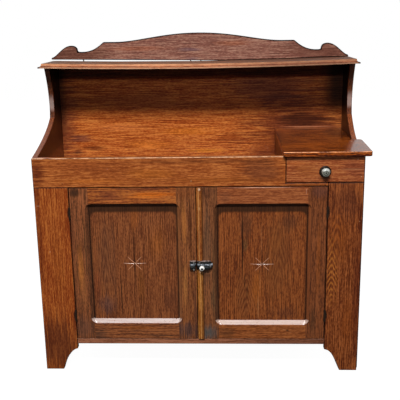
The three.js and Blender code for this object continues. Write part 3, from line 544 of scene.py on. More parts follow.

# Well apron
# One deep board across the front of the well, nailed to the stiles and cut back to a narrow sill
# under the drawer. Its top edge is painted pale, partly wear and partly painted highlight.
rim_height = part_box("sink_apron")[1][2]
rim_line = 0.0016
board(
    "sink_apron", front_arris, "X", ("7a3711", "984e20", "bb6e35"), 5,
    edge_wear_and_highlight("apron_edge", "48200f", top=rim_height - rim_line, top_code="f4c8a0"),
    rings=0.4, contrast=0.8, length=0.08,
    spots=[
        ((-0.59, 0.8), (0.045, 0.09), "66250e", 0.8),
        ((-0.45, 0.83), (0.2, 0.03), "96481d", 0.6),
        ((0.225, 0.8), (0.085, 0.06), "7f4223", 0.75),
        ((0.02, 0.837), (0.3, 0.012), "7a3d19", 0.6),
        ((0.05, 0.768), (0.24, 0.016), "9b4f19", 0.6),
        ((-0.4, 0.765), (0.18, 0.014), "c16723", 0.6),
        ((-0.17, 0.79), (0.1, 0.03), "be6821", 0.5),
        ((0.39, 0.747), (0.09, 0.004), "a85a26", 0.7),
        ((-0.024, 0.764), (0.0022, 0.002), "f0d8a8", 0.9, 0.1),
        ((-0.33, 0.812), (0.003, 0.0014), "c88a70", 0.7, 0.2),
    ],
)

# Cupboard floor
# A thin board let in between the sides. Its front edge shows below the doors, dull and reddish,
# with a pale top edge under the left door, partly wear and partly painted highlight.
floor_arris = 0.0014
floor_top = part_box("cupboard_floor")[1][2]
floor_line = 0.001
board(
    "cupboard_floor", floor_arris, "X", ("71422b", "90573a", "a96d4f"), 6,
    edge_wear_and_highlight("floor_edge", "6a3a26", top=floor_top - floor_line, top_code="c08e74"),
    rings=0.2, spots=[((0.35, 0.12), (0.3, 0.03), "3f170d", 0.5)],
)

# Well bottom, drawer divider and splash board
# The well's floor carries the drawer as well, the divider parts the two, and one wide board
# closes the back. The splash board is the brightest wood of the whole piece.
thin_arris = 0.001
board("sink_deck", thin_arris, "X", ("421b0a", "632d14", "834320"), 7, plane="XY")
board("drawer_divider", thin_arris, "Y", ("562810", "743818", "965628"), 8, plane="YZ")


def splash_shade(wood, place, paint, streak, coat):
    """Painted shade under the shelf and at the right and left ends, where the cheeks shade the
    board.
    The board's back was never varnished."""
    across = wood.part(place, "X")
    height = wood.part(place, "Z")
    # The top, right and left bands are painted shade.
    top = wood.smooth(height, 1.082, 1.098) * 0.75
    right = wood.smooth(across, 0.48, 0.56) * wood.smooth(height, 0.88, 1.0) * 0.9
    left = wood.smooth(across, -0.555, -0.59) * wood.smooth(height, 0.8, 0.95) * 0.7
    paint = wood.stained(paint, (right, "120a07"), (left, "1c0c08"), (top, "0a0302"))
    back = wood.smooth(wood.facing("Y"), 0.5, 0.8)
    raw = wood.blend(wood.smooth(streak, 0.3, 0.7), "5e3c24", "946844")
    return wood.blend(back, paint, raw), coat * (1 - right) * (1 - top) * (1 - back)


board(
    "splash_board", thin_arris, "X", ("81330d", "b25822", "d4813c"), 9, rings=0.3,
    ring_width=0.012, contrast=0.8, length=0.08, blotch=0.8, extra=splash_shade,
    spots=[
        ((0.42, 0.86), (0.34, 0.24), "672c1a", 0.8),
        ((-0.58, 0.9), (0.08, 0.3), "672f26", 0.6),
        ((-0.51, 0.835), (0.06, 0.022), "7a3f30", 0.75),
        ((-0.46, 0.79), (0.07, 0.016), "743111", 0.75),
        ((-0.53, 0.775), (0.04, 0.02), "4d241f", 0.7),
        ((0.27, 0.8), (0.07, 0.05), "97461a", 0.5),
        ((-0.05, 0.86), (0.16, 0.022), "dc7922", 0.55),
        ((-0.22, 0.8), (0.14, 0.03), "de7a28", 0.5),
        ((-0.35, 0.88), (0.12, 0.02), "e08142", 0.5),
        ((0.12, 0.835), (0.06, 0.02), "873007", 0.6),
        ((0.02, 0.775), (0.1, 0.012), "f3962e", 0.5),
        ((-0.25, 0.99), (0.3, 0.05), "9a512a", 0.5),
        ((0.3, 1.05), (0.3, 0.1), "784134", 0.6),
        ((0.45, 0.905), (0.16, 0.045), "421a0a", 0.85),
        ((0.447, 0.8742), (0.145, 0.0034), "c8805a", 0.9, 0.1),
    ],
)

# Lower back boards, cupboard shelf and its cleats
# Plain sawn boards nailed on behind, never varnished, and gone brown with age. Inside, a shelf
# of the same wood lies on two cleats.
inside_tones = ("5a3a22", "805636", "a0734a")
raw_tones = {
    "upper_back_board": ("4c2f1b", "6c462a", "8c6240"),
    "lower_back_board": ("5f3c22", "8a5c38", "ab7a4e"),
    "cupboard_shelf": inside_tones,
    "left_shelf_cleat": inside_tones,
    "right_shelf_cleat": inside_tones,
}
for seed, (node, tones) in enumerate(raw_tones.items(), 10):
    seams = [corner[2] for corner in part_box(node)] if "back" in node else []
    board(
        node, thin_arris, "Y" if "cleat" in node else "X", tones, seed, gloss=0.72, coat=0,
        wave=0.02, spots=[((0, seam), (0.7, 0.004), "150b06", 0.8, 0.1) for seam in seams],
    )

# Counter
# A glossy lid board over the drawer, with round front corners. Its front edge carries a bright
# line, partly wear and partly painted highlight, and the board mirrors the room at its open corner.
counter_arris = 0.0028
counter_line = 0.002
counter_low, counter_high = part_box("drawer_counter")
board(
    "drawer_counter", counter_arris, "X", ("3a1206", "66290b", "ac561a"), 16,
    edge_wear_and_highlight(
        "counter_edge", "6e2c1a", gloss=0.25, top=counter_high[2] - counter_line,
        top_code="f6a468",
    ),
    gloss=0.2, coat=0.45, plane="XY", rings=0.5, contrast=1.5,
    spots=[
        ((0.42, -0.12), (0.16, 0.04), "a24c12", 0.6),
        ((0.36, 0.16), (0.16, 0.03), "8c3c16", 0.6),
        ((0.56, 0.14), (0.08, 0.14), "2c100a", 0.7),
        ((0.32, 0.06), (0.03, 0.18), "54240f", 0.6),
        ((0.44, 0.2), (0.14, 0.028), "481c0b", 0.85),
        ((counter_low[0] + 0.003, 0.04), (0.005, 0.22), "1c0b06", 0.85, 0.1),
    ],
)

# Top shelf
# One board with a moulded front edge, which has sagged in the middle and tilts to the back. Its
# flat top is painted a dull grey, partly bloom and partly painted sheen. Along the moulded edge a
# painted highlight lies on the arris, painted shade in the groove, and the lip is painted pale,
# partly wear and partly painted highlight.
shelf_arris = 0.0008
shelf_low, shelf_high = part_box("top_shelf")
shelf_middle = (shelf_low[0] + shelf_high[0]) / 2
shelf_half = (shelf_high[0] - shelf_low[0]) / 2
line_softness = 0.0004
# The bands carry painted sheen, painted highlight and painted shade, with bloom and wear.
moulding_lines = (
    (0.0128, 1.0, "6a5648", 0.75),
    (0.0104, 0.0128, "d8986c", 0.8),
    (0.002, 0.0046, "240e06", 0.9),
    (-1.0, 0.0008, "dca884", 0.7),
)


def moulding_sheen_and_shade(wood, place, paint, streak, coat):
    """Bands along the shelf's moulded edge, from its flat top to the lip: a dull grey top, partly
    bloom and partly painted sheen; a painted highlight on the arris; painted shade in the groove;
    and a pale lip, partly wear and partly painted highlight. The right half and both ends are
    painted darker."""
    back = wood.part(place, "Y") - shelf_low[1]
    across = wood.part(place, "X")
    patchy = wood.smooth(wood.noise(place, 26, 4, 0.65), 0.3, 0.6)
    for start, end, code, strength in moulding_lines:
        line = wood.band(back, start, end, line_softness)
        paint = wood.blend(line * (0.5 + patchy * 0.5) * strength, paint, code)
    paint = wood.blend(wood.smooth(across, -0.1, 0.45) * 0.5, paint, "4c2414")
    end = wood.smooth(abs(across - shelf_middle), shelf_half - 0.012, shelf_half - 0.005)
    return wood.blend(end * 0.9, paint, "1e0f0a"), coat


board(
    "top_shelf", shelf_arris, "X", ("64301a", "8c4a2a", "b87048"), 17,
    edge_wear_and_highlight("shelf_edge", "54291a", sheen=0.3), rings=0.3, gloss=0.6, coat=0, extra=moulding_sheen_and_shade,
    spots=[((-0.6, 1.16), (0.05, 0.03), "5e3020", 0.6)],
)

# Crest board
# A thin fretted board that stands on the back edge of the shelf on a few nails, with daylight
# under its left half. Its sawn outline has gone nearly black.
crest_arris = 0.0034


def sawn_outline(wood, place, paint, streak, coat):
    outline = wood.smooth(abs(wood.facing("Y")), 0.8, 0.4)
    return wood.blend(outline * 0.9, paint, "1c0d08"), coat


crest = board(
    "crest_board", crest_arris, "X", ("653e34", "865446", "a57c68"), 18,
    edge_wear_and_highlight("crest_edge", "140906", gloss=0.6, sheen=0),
    rings=0.2, length=0.08, contrast=0.8, blotch=0.6, extra=sawn_outline,
    spots=[
        ((-0.52, 1.18), (0.22, 0.07), "683e2f", 0.8),
        ((0.5, 1.18), (0.24, 0.07), "6b3c2d", 0.75),
        ((-0.03, 1.203), (0.08, 0.01), "6c5159", 0.7),
        ((-0.03, 1.165), (0.05, 0.008), "74575c", 0.6),
        ((0.14, 1.225), (0.12, 0.014), "a15938", 0.55),
        ((-0.25, 1.21), (0.16, 0.014), "a86143", 0.5),
        ((0.38, 1.17), (0.1, 0.02), "794437", 0.6),
    ],
)
crest.modifiers["arris"].use_clamp_overlap = False

# Nails
# Cut nails with small oblong heads hold the case: through the apron and its sill, through the
# sides into the floors, through the back boards, and down through the counter. Three longer ones,
# gone black, hold the crest over the shelf.
nail_width = 0.0042
nail_proud = 0.0003
nail_turn = 0.5
back_nail_proud = 0.00005
back_nail_inset = 0.005
back_nail_shares = (0.12, 0.38, 0.64, 0.9)
side_nail_shares = (0.16, 0.5, 0.86)
front_nails = ((-0.6, 0.836), (-0.59, 0.814), (-0.592, 0.789), (-0.5, 0.757), (0.462, 0.747))
counter_nails = ((0.5705, 0.1436), (0.588, -0.13))
rust_share = 0.5


def metal(name, code, roughness, metallic, rust="4a3524"):
    iron = Finish(name)
    place = iron.place()
    grit = iron.noise(place, 900)
    wear_and_sheen = iron.noise(place, 130, 4, 0.6)
    return iron.solid({
        "Base Color": iron.blend(iron.smooth(grit + wear_and_sheen, 0.8, 1.2) * rust_share, code, rust),
        "Roughness": roughness + (wear_and_sheen - 0.5) * 0.3,
        "Metallic": metallic,
        "Normal": iron.bump(grit),
    })


class Heads(Finish):
    """A Geometry Nodes tree that sets one head on each point of a mesh, facing its own way."""

    inputs = {
        "Points": "Geometry", "Width": "Float", "Proud": "Float", "Turn": "Float",
        "Finish": "Material",
    }

    def __init__(self, name, seed):
        super().__init__(name, bpy.data.node_groups.new(name, "GeometryNodeTree"))
        self.seed = seed
        self.names = {}
        for label, kind in self.inputs.items():
            socket = self.tree.interface.new_socket(
                label, in_out="INPUT", socket_type=f"NodeSocket{kind}"
            )
            self.names[label] = socket.identifier
        self.tree.interface.new_socket("Heads", in_out="OUTPUT", socket_type="NodeSocketGeometry")
        given = self.tree.nodes.new("NodeGroupInput").outputs
        self.points, self.width, self.proud, self.turn, self.iron = (
            Wire(self, given[label]) for label in self.inputs
        )

    def oblong(self):
        """A cut nail's head: a low four-sided pyramid with its top cut off."""
        radius = self.width * 0.7
        head = self.node(
            "GeometryNodeMeshCone", {},
            {"Vertices": 4, "Radius Top": radius * 0.75, "Radius Bottom": radius,
             "Depth": self.proud * 2},
        )
        square = self.node(
            "GeometryNodeTransform", {}, {"Geometry": head, "Rotation": (0, 0, math.radians(45))}
        )
        down = self.node("ShaderNodeCombineXYZ", {}, {"Z": self.proud * -1})
        return self.node(
            "GeometryNodeTransform", {},
            {"Geometry": square, "Translation": down, "Scale": (1, 0.62, 1)},
        )

    def slotted(self):
        """A wood screw's head: a flat disc with a slot across it."""
        disc = self.node(
            "GeometryNodeMeshCylinder", {},
            {"Vertices": 20, "Radius": self.width * 0.5, "Depth": self.proud * 2},
        )
        size = self.node(
            "ShaderNodeCombineXYZ", {},
            {"X": self.width * 1.2, "Y": self.width * 0.2, "Z": self.proud * 2},
        )
        lifted = self.node("ShaderNodeCombineXYZ", {}, {"Z": self.proud * 1.2})
        bar = self.node("GeometryNodeMeshCube", {}, {"Size": size})
        cutter = self.node("GeometryNodeTransform", {}, {"Geometry": bar, "Translation": lifted})
        return self.node(
            "GeometryNodeMeshBoolean", {"operation": "DIFFERENCE"},
            {"Mesh 1": disc, "Mesh 2": cutter},
        )

    def seat(self, head):
        """Set one head on each point, facing its way and turned a little by chance."""
        facing = self.node(
            "GeometryNodeInputNamedAttribute", {"data_type": "FLOAT_VECTOR"}, {"Name": "facing"}
        )
        angle = self.node(
            "FunctionNodeRandomValue", {"data_type": "FLOAT"},
            {2: self.turn * -1, 3: self.turn, 8: self.seed}, 1,
        )
        faced = self.node("FunctionNodeAlignRotationToVector", {"axis": "Z"}, {"Vector": facing})
        spin = self.node(
            "FunctionNodeAxisAngleToRotation", {}, {"Axis": (0, 0, 1), "Angle": angle}
        )
        rotation = self.node(
            "FunctionNodeRotateRotation", {"rotation_space": "LOCAL"},
            {"Rotation": faced, "Rotate By": spin},
        )
        heads = self.node(
            "GeometryNodeInstanceOnPoints", {},
            {"Points": self.points, "Instance": head, "Rotation": rotation},
        )
        real = self.node("GeometryNodeRealizeInstances", {}, {"Geometry": heads})
        painted = self.node(
            "GeometryNodeSetMaterial", {}, {"Geometry": real, "Material": self.iron}
        )
        end = self.tree.nodes.new("NodeGroupOutput")
        self.tree.links.new(painted.socket, end.inputs[0])

    def set(self, name, body, places, width, proud, turn, iron, slot):
        """Places are pairs of a point and the way the head faces."""
        points = bpy.data.meshes.new(f"{name}_points")
        points.from_pydata([point for point, _ in places], [], [])
        facing = points.attributes.new("facing", "FLOAT_VECTOR", "POINT")
        for entry, (_, way) in zip(facing.data, places):
            entry.vector = way
        maker = placed(f"{name}_points", points)
        modifier = maker.modifiers.new("heads", "NODES")
        modifier.node_group = self.tree
        values = {"Width": width, "Proud": proud, "Turn": turn, "Finish": iron}
        for label, value in values.items():
            modifier[self.names[label]] = value
        evaluated = maker.evaluated_get(bpy.context.evaluated_depsgraph_get())
        mesh = bpy.data.meshes.new_from_object(evaluated)
        maker.modifiers.remove(modifier)
        bpy.data.objects.remove(maker)
        made = placed(name, mesh)
        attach(made, body)


def front_middle(node):
    """The middle of a piece as seen from the front."""
    low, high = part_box(node)
    return Vector(((low[0] + high[0]) / 2, 0, (low[2] + high[2]) / 2))


hinge_iron = metal("hinge_iron", "241c16", 0.5, 0.5)
nail_heads = Heads("nail_heads", 7)
nail_heads.seat(nail_heads.oblong())
to_front, to_back, to_top = Vector((0, -1, 0)), Vector((0, 1, 0)), Vector((0, 0, 1))
case_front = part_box("sink_apron")[0][1]
case_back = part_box("splash_board")[1][1]
case_nails = [(Vector((x, case_front, z)), to_front) for x, z in front_nails]
for side, corner, way in (("left", 0, -1), ("right", 1, 1)):
    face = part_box(f"{side}_side_board")[corner][0]
    for node in ("sink_deck", "cupboard_floor"):
        low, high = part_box(node)
        for share in side_nail_shares:
            y = low[1] + share * (high[1] - low[1])
            case_nails.append((Vector((face, y, front_middle(node).z)), Vector((way, 0, 0))))
case_nails += [(Vector((x, y, counter_high[2])), to_top) for x, y in counter_nails]
nail_heads.set(
    "case_nails", "case", case_nails, nail_width, nail_proud, nail_turn, hinge_iron, "dark_metal"
)
back_nails = []
for node in ("splash_board", "upper_back_board", "lower_back_board"):
    low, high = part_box(node)
    for x in (low[0] + back_nail_inset, high[0] - back_nail_inset):
        for share in back_nail_shares:
            z = low[2] + share * (high[2] - low[2])
            back_nails.append((Vector((x, case_back, z)), to_back))
nail_heads.set(
    "back_nails", "case", back_nails, nail_width, back_nail_proud, nail_turn, hinge_iron,
    "dark_metal",
)
crest_iron = metal("crest_iron", "0c0806", 0.85, 0.1)
for number in (1, 2, 3):
    dress(f"crest_nail_{number}", crest_iron)

# Door frames
# Two stiles and two rails, mortised together, with a bevel round the opening that ends in round
# corners. The doors are darker and greyer than the case. The top rails' bevels are painted near
# black as shade, painted shade lies where the bevels meet the panel, and the ledge below is
# painted pale, partly dust and wear and partly painted highlight.
door_arris = 0.0011
door_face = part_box("left_door_top_rail")[0][1]
bevel_depth = 0.011
bevel_width = 0.013
bevel_back = door_face + bevel_depth
opening_corner = 0.022
door_edge = edge_wear_and_highlight("door_edge", "38201a")


def corner_reach(wood, across, up, half, top, radius):
    """How far a point lies from the middle of the nearer upper round corner's arc."""
    beside = (abs(across) - (half - radius)).at_least(0)
    above = (up - (top - radius)).at_least(0)
    from_arc = wood.node("ShaderNodeCombineXYZ", {}, {0: beside, 1: above})
    return wood.vector("LENGTH", from_arc, output="Value")


def bevel_shade_and_wear(node, code, strength, ledge_dust_and_sheen):
    """Colours a frame member's bevels: pale on the ledge below, partly dust and partly painted
    highlight; painted shade where they meet the panel; and a colour of its own above the ledge,
    which stops at the round corners. On the top rails that colour is near black, as painted shade."""
    side = node.split("_")[0]
    ledge_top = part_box(f"{side}_door_bottom_rail")[1][2]
    opening_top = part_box(f"{side}_door_top_rail")[0][2] + bevel_width
    edges = [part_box(f"{side}_door_{kind}_stile") for kind in ("hinge", "lock")]
    first, last = sorted(edges, key=lambda box: box[0][0])
    middle = (first[1][0] + last[0][0]) / 2
    half = (last[0][0] - first[1][0]) / 2 + bevel_width

    def extra(wood, place, paint, streak, coat):
        across, depth, height = (wood.part(place, axis) for axis in "XYZ")
        slope = (
            wood.smooth(depth, door_face + 0.0006, door_face + 0.0016)
            * wood.smooth(depth, bevel_back + 0.002, bevel_back + 0.0004)
        )
        inner = wood.smooth(depth, door_face + 0.0075, door_face + 0.01)
        kept = wood.smooth(wood.noise(place, 120, 4, 0.65), 0.3, 0.4)
        ledge = wood.smooth(height, ledge_top + 0.006, ledge_top)
        wear_and_sheen = wood.blend(wood.smooth(streak, 0.3, 0.7) * 0.35, ledge_dust_and_sheen, "8a5a44")
        low = slope * ledge * kept
        round_off = corner_reach(
            wood, across - middle, height - opening_top, half, 0, opening_corner
        )
        inside = wood.smooth(round_off, opening_corner + 0.001, opening_corner - 0.001)
        high = slope * (1 - ledge) * inside
        # The dark where the bevels meet the panel is painted shade.
        paint = wood.stained(paint, (high * strength, code), (high * inner * 0.9, "120704"))
        return wood.blend(low * 0.85, paint, wear_and_sheen), coat + low * 0.45
    return extra


def frame_member(node, seed, tones, bevel, *spots):
    """Finish one stile or rail of a door. Its bevels have a colour, that colour's strength and the
    colour of the ledge, which is partly painted highlight."""
    board(
        node, door_arris, "Z" if "stile" in node else "X", tones, seed, door_edge, contrast=1.05,
        spots=spots, extra=bevel_shade_and_wear(node, *bevel),
    )


frame_member(
    "left_door_hinge_stile", 20, ("54301c", "744022", "965733"), ("38251a", 0.45, "d3bfb6"),
    ((-0.452, 0.722), (0.045, 0.026), "422717", 0.9),
    ((-0.47, 0.56), (0.012, 0.18), "6b3921", 0.6),
    ((-0.427, 0.52), (0.008, 0.2), "523922", 0.6),
    ((-0.45, 0.42), (0.018, 0.13), "b56c30", 0.8),
    ((-0.442, 0.33), (0.015, 0.09), "9d5e33", 0.7),
    ((-0.45, 0.18), (0.05, 0.06), "724835", 0.7),
)
frame_member(
    "left_door_lock_stile", 21, ("542e19", "784123", "975b31"), ("9a6038", 0.5, "d3bfb6"),
    ((-0.052, 0.6), (0.013, 0.11), "ab6730", 0.8),
    ((-0.055, 0.35), (0.014, 0.12), "ad6e38", 0.8),
    ((-0.03, 0.5), (0.01, 0.3), "542a10", 0.6),
    ((-0.018, 0.25), (0.009, 0.16), "48261e", 0.7),
    ((-0.05, 0.17), (0.05, 0.05), "513d3b", 0.7),
    ((-0.05, 0.72), (0.05, 0.03), "81431d", 0.5),
    # The near-black patch by the latch is painted shade in the gap between keeper and case, where
    # the thrown bolt would lie.
    ((-0.009, 0.436), (0.01, 0.026), "080605", 0.95, 0.1),
)
# The near-black colour of the top rail's bevel is painted shade under the rail.
frame_member(
    "left_door_top_rail", 22, ("662f17", "904920", "b0652d"), ("280f06", 0.92, "d3bfb6"),
    ((-0.33, 0.71), (0.07, 0.03), "793a23", 0.7),
    ((-0.18, 0.712), (0.11, 0.022), "c96419", 0.95, 0.7),
    ((-0.2, 0.706), (0.07, 0.008), "d8792d", 0.8, 0.7),
    ((-0.31, 0.688), (0.06, 0.006), "e0803f", 0.7),
    ((-0.25, 0.736), (0.16, 0.004), "5a2f26", 0.6),
)
frame_member(
    "left_door_bottom_rail", 23, ("532b18", "7c4325", "9b5c33"), ("3a2014", 0.3, "dccac4"),
    ((-0.23, 0.178), (0.13, 0.01), "9e5621", 0.7),
    ((-0.39, 0.155), (0.05, 0.04), "613e2d", 0.7),
    ((-0.16, 0.145), (0.09, 0.008), "5e3b29", 0.6),
)
frame_member(
    "right_door_lock_stile", 24, ("512d19", "724125", "8c5531"), ("2c1c12", 0.5, "d2b8aa"),
    ((0.03, 0.5), (0.03, 0.24), "724f37", 0.65),
    # The near-black patch by the latch is painted shade in the gap between keeper and case, where
    # the thrown bolt would lie.
    ((-0.007, 0.436), (0.01, 0.026), "080605", 0.95, 0.1),
    ((0.055, 0.4), (0.012, 0.26), "644228", 0.7),
    ((0.03, 0.16), (0.045, 0.05), "535351", 0.85),
    ((0.05, 0.3), (0.02, 0.1), "55432e", 0.6),
    ((0.03, 0.72), (0.045, 0.03), "5d341f", 0.6),
)
frame_member(
    "right_door_hinge_stile", 25, ("502916", "6d391c", "884c29"), ("8a4c28", 0.5, "d2b8aa"),
    ((0.445, 0.72), (0.04, 0.03), "6b3e2f", 0.7),
    ((0.445, 0.45), (0.01, 0.2), "954e1c", 0.6),
    ((0.43, 0.2), (0.02, 0.09), "462e1d", 0.6),
)
# The near-black colour of the top rail's bevel is painted shade under the rail.
frame_member(
    "right_door_top_rail", 26, ("74381c", "8d4b26", "a66137"), ("280f06", 0.92, "d2b8aa"),
    ((0.23, 0.7372), (0.16, 0.0016), "f0bda4", 0.9, 0.2),
    ((0.1, 0.7), (0.03, 0.03), "82482b", 0.6),
    ((0.396, 0.722), (0.0016, 0.016), "d89a7c", 0.7, 0.2),
)
frame_member(
    "right_door_bottom_rail", 27, ("643014", "884720", "a25e30"), ("3a2014", 0.3, "dcc2b6"),
    ((0.1, 0.155), (0.05, 0.03), "724426", 0.6),
    ((0.334, 0.168), (0.009, 0.006), "44271a", 0.8, 0.2),
    ((0.322, 0.172), (0.01, 0.003), "b0744c", 0.7, 0.2),
    ((0.345, 0.16), (0.006, 0.003), "9c6440", 0.6, 0.2),
)

# Door panels
# Thin panels glued up from narrow boards, held loose in grooves. A star of eight strokes is cut
# into the middle of each. Its slanting and level strokes are painted pale, partly wear and partly
# painted highlight, its upright strokes are painted dark as shade, and painted shade lies under the
# top rail and down the sides.
panel_arris = 0.0003
panel_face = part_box("left_door_panel")[0][1]
groove_reach = 0.0077
shade_drop = 0.02
shade_corner = 0.026
stroke_widths = {"level": (0.0018, 0.0006), "slant": (0.0024, 0.001), "upright": (0.0018, 0.0007)}
stroke_ends = {"level": (0.046, 0.041), "slant": (0.04, 0.03), "upright": (0.042, 0.03)}


def panel_strokes_and_shade(node):
    """The star's strokes, and painted shade under the top rail and down the sides. The slanting and
    level strokes are painted pale, partly wear and partly painted highlight; the upright ones are
    painted dark as shade.
    """
    low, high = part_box(node)
    middle = front_middle(node)
    half = (high[0] - low[0]) / 2 - groove_reach
    shade_top = high[2] - groove_reach - shade_drop - middle.z

    def extra(wood, place, paint, streak, coat):
        offset = wood.vector("SUBTRACT", place, middle)
        across, depth, up = (wood.part(offset, axis) for axis in "XYZ")
        reach = wood.front_reach(offset)
        open_middle = wood.smooth(reach, 0.002, 0.006)
        front = wood.smooth(depth, panel_face + 0.004, panel_face + 0.003)
        level, slant, upright = (
            wood.smooth(aside, *stroke_widths[way]) * wood.smooth(reach, *stroke_ends[way])
            for way, aside in (
                ("level", abs(up)), ("slant", abs(abs(across) - abs(up))), ("upright", abs(across))
            )
        )
        border = corner_reach(wood, across, up, half, shade_top, shade_corner)
        border = border + (streak - 0.5) * 0.006
        shade = wood.smooth(border, shade_corner - 0.009, shade_corner + 0.0015)
        paint = wood.stained(
            paint, (upright * front * 0.7, "2c140b"), (slant * open_middle * front * 0.85, "c48a68"),
            (level * front * 0.7, "b4866a"), (shade * 0.85, "2a1a10"),
        )
        return paint, coat * (1 - shade) * (1 - level)
    return extra


def door_panel(node, seed, tones, spots, figures):
    board(
        node, panel_arris, "Z", tones, seed, rings=1.3, ring_width=0.007, spots=spots,
        figures=figures, extra=panel_strokes_and_shade(node),
    )


door_panel(
    "left_door_panel", 30, ("572b15", "753e21", "94562e"),
    spots=[
        ((-0.2445, 0.44), (0.0032, 0.26), "2c1207", 0.8, 0.15),
        ((-0.3, 0.3), (0.0032, 0.13), "22110b", 0.9, 0.1),
        ((-0.24, 0.62), (0.02, 0.07), "ad5e28", 0.5),
        ((-0.16, 0.52), (0.04, 0.1), "a75c1f", 0.4),
        ((-0.11, 0.29), (0.04, 0.07), "703d24", 0.7),
        ((-0.36, 0.27), (0.04, 0.06), "58403e", 0.6),
        ((-0.225, 0.35), (0.02, 0.09), "884c1c", 0.5),
        ((-0.39, 0.36), (0.02, 0.09), "874124", 0.5),
    ],
    figures=[((-0.355, 0.45), (0.05, 0.22), (0.0075, 0.055), ("573120", "8a5533"), 0.6)],
)
door_panel(
    "right_door_panel", 31, ("562710", "773b19", "975427"),
    spots=[
        ((0.2372, 0.45), (0.003, 0.1), "3a1c10", 0.6, 0.2),
        ((0.175, 0.6), (0.03, 0.07), "794628", 0.6),
        ((0.173, 0.51), (0.012, 0.03), "6b4c2c", 0.6),
        ((0.33, 0.48), (0.05, 0.08), "652d14", 0.5),
        ((0.345, 0.6), (0.05, 0.05), "4c2a1c", 0.6),
        ((0.285, 0.53), (0.03, 0.06), "97501f", 0.5),
        ((0.32, 0.235), (0.08, 0.04), "5a2f1e", 0.55),
        ((0.215, 0.33), (0.03, 0.08), "b6621e", 0.55),
        ((0.164, 0.51), (0.004, 0.21), "1c0b05", 0.95, 0.1),
        ((0.171, 0.365), (0.004, 0.05), "2a1208", 0.8, 0.1),
        ((0.181, 0.325), (0.004, 0.04), "2a1208", 0.8, 0.1),
        ((0.2345, 0.53), (0.0032, 0.09), "b87444", 0.45, 0.1),
        ((0.229, 0.36), (0.0032, 0.07), "b87444", 0.55, 0.1),
        ((0.223, 0.26), (0.0032, 0.08), "c8804c", 0.9, 0.1),
    ],
    figures=[
        ((0.18, 0.3), (0.06, 0.14), (0.0085, 0.034), ("552a14", "9c5f32"), 0.4),
        ((0.3, 0.44), (0.07, 0.22), (0.009, 0.06), ("65371b", "94592c"), 0.45),
    ],
)

# Butt hinges
# Two small wrought butts on each door. Only the knuckles show in front while the doors are shut.
# Each leaf is held by two slotted screws, which show when its door is open.
leaf_thickness = 0.0012
leaf_screw_width = 0.0052
leaf_screw_proud = 0.00015
leaf_screw_turn = 1.5
leaf_screw_inset = 0.008
leaf_screw_shares = (0.22, 0.78)
screw_heads = Heads("screw_heads", 11)
screw_heads.seat(screw_heads.slotted())
for side, outward in (("left", -1), ("right", 1)):
    screws = {"case": [], f"{side}_door": []}
    for level in ("upper", "lower"):
        hinge = f"{side}_door_{level}_hinge"
        for part in ("case_leaf", "pin", "door_leaf"):
            dress(f"{hinge}_{part}", hinge_iron)
        low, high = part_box(f"{hinge}_case_leaf")
        pin_middle = front_middle(f"{hinge}_pin").x
        for body, stile, way in (
            ("case", "front_stile", -outward), (f"{side}_door", "door_hinge_stile", outward)
        ):
            edges = [corner[0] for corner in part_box(f"{side}_{stile}")]
            face = min(edges, key=lambda edge: abs(edge - pin_middle)) + way * leaf_thickness
            for share in leaf_screw_shares:
                z = low[2] + share * (high[2] - low[2])
                point = Vector((face, high[1] - leaf_screw_inset, z))
                screws[body].append((point, Vector((way, 0, 0))))
    for body, places in screws.items():
        holder = "case" if body == "case" else "door"
        screw_heads.set(
            f"{side}_hinge_{holder}_screws", body, places, leaf_screw_width, leaf_screw_proud,
            leaf_screw_turn, hinge_iron, "hinge_iron",
        )

# Meeting bead
# A half-round strip glued to the right door's lock edge, which laps over the left door. The latch
# breaks it in two. It is a yellower wood, with a painted highlight up its crown and painted shade
# beside it and along its right-hand edge.
bead_arris = 0.0004
bead_middle = front_middle("lower_door_bead").x
stripe_half = 0.0024


def bead_shading(highlight_place, shade_place):
    """A painted highlight up the bead's crown, painted shade beside it, and painted shade along its
    right-hand edge.
    """
    def extra(wood, place, paint, streak, coat):
        across = wood.part(place, "X") - bead_middle
        line, dark = (
            wood.smooth(abs(across - middle), stripe_half, stripe_half * 0.5)
            for middle in (highlight_place, shade_place)
        )
        foot = wood.smooth(across, 0.006, 0.0095)
        paint = wood.stained(
            paint, (line * 0.35, "e0a868"), (dark * 0.5, "552808"), (foot * 0.85, "3c1a0c")
        )
        return paint, coat
    return extra


for node, tones, highlight_place, shade_place in (
    ("lower_door_bead", ("7c4214", "9c5c22", "bc7e38"), 0.0004, 0.0046),
    ("upper_door_bead", ("6c300e", "8c4a1c", "ae6c30"), -0.003, 0.006),
):
    board(
        node, bead_arris, "Z", tones, 40, rings=0.2, extra=bead_shading(highlight_place, shade_place),
        # The pale spots at the top ends of the two strips are painted highlights, where the end
        # faces catch the light.
        spots=[
            ((0.005, 0.733), (0.006, 0.006), "f0cdb0", 0.85, 0.6),
            ((0.004, 0.66), (0.006, 0.01), "d4a070", 0.5),
            ((0.004, 0.411), (0.008, 0.006), "f0cdb0", 0.7, 0.6),
        ],
    )

# Latch
# A black japanned cast-iron rim latch on the right door, its keeper on the left one, four slotted
# screws, and a sliding iron bolt whose stem carries a white porcelain knob.
casting_arris = 0.0008
bolt_arris = 0.0004
glaze_arris = 0.0003
latch_softness = 0.0008
# Painted highlight bands on the latch: a pale top line, a blue-grey band and a dim grey band.
latch_highlights = (
    (-0.0016, 0.001, "a89088", 0.8),
    (-0.015, -0.009, "b4bcc6", 0.85),
    (-0.024, -0.016, "5c6468", 0.4),
)
screw_slots = {
    "keeper_screw_1": 0.6, "keeper_screw_2": 1.9, "latch_case_screw_1": 0.3,
    "latch_case_screw_2": 1.2,
}


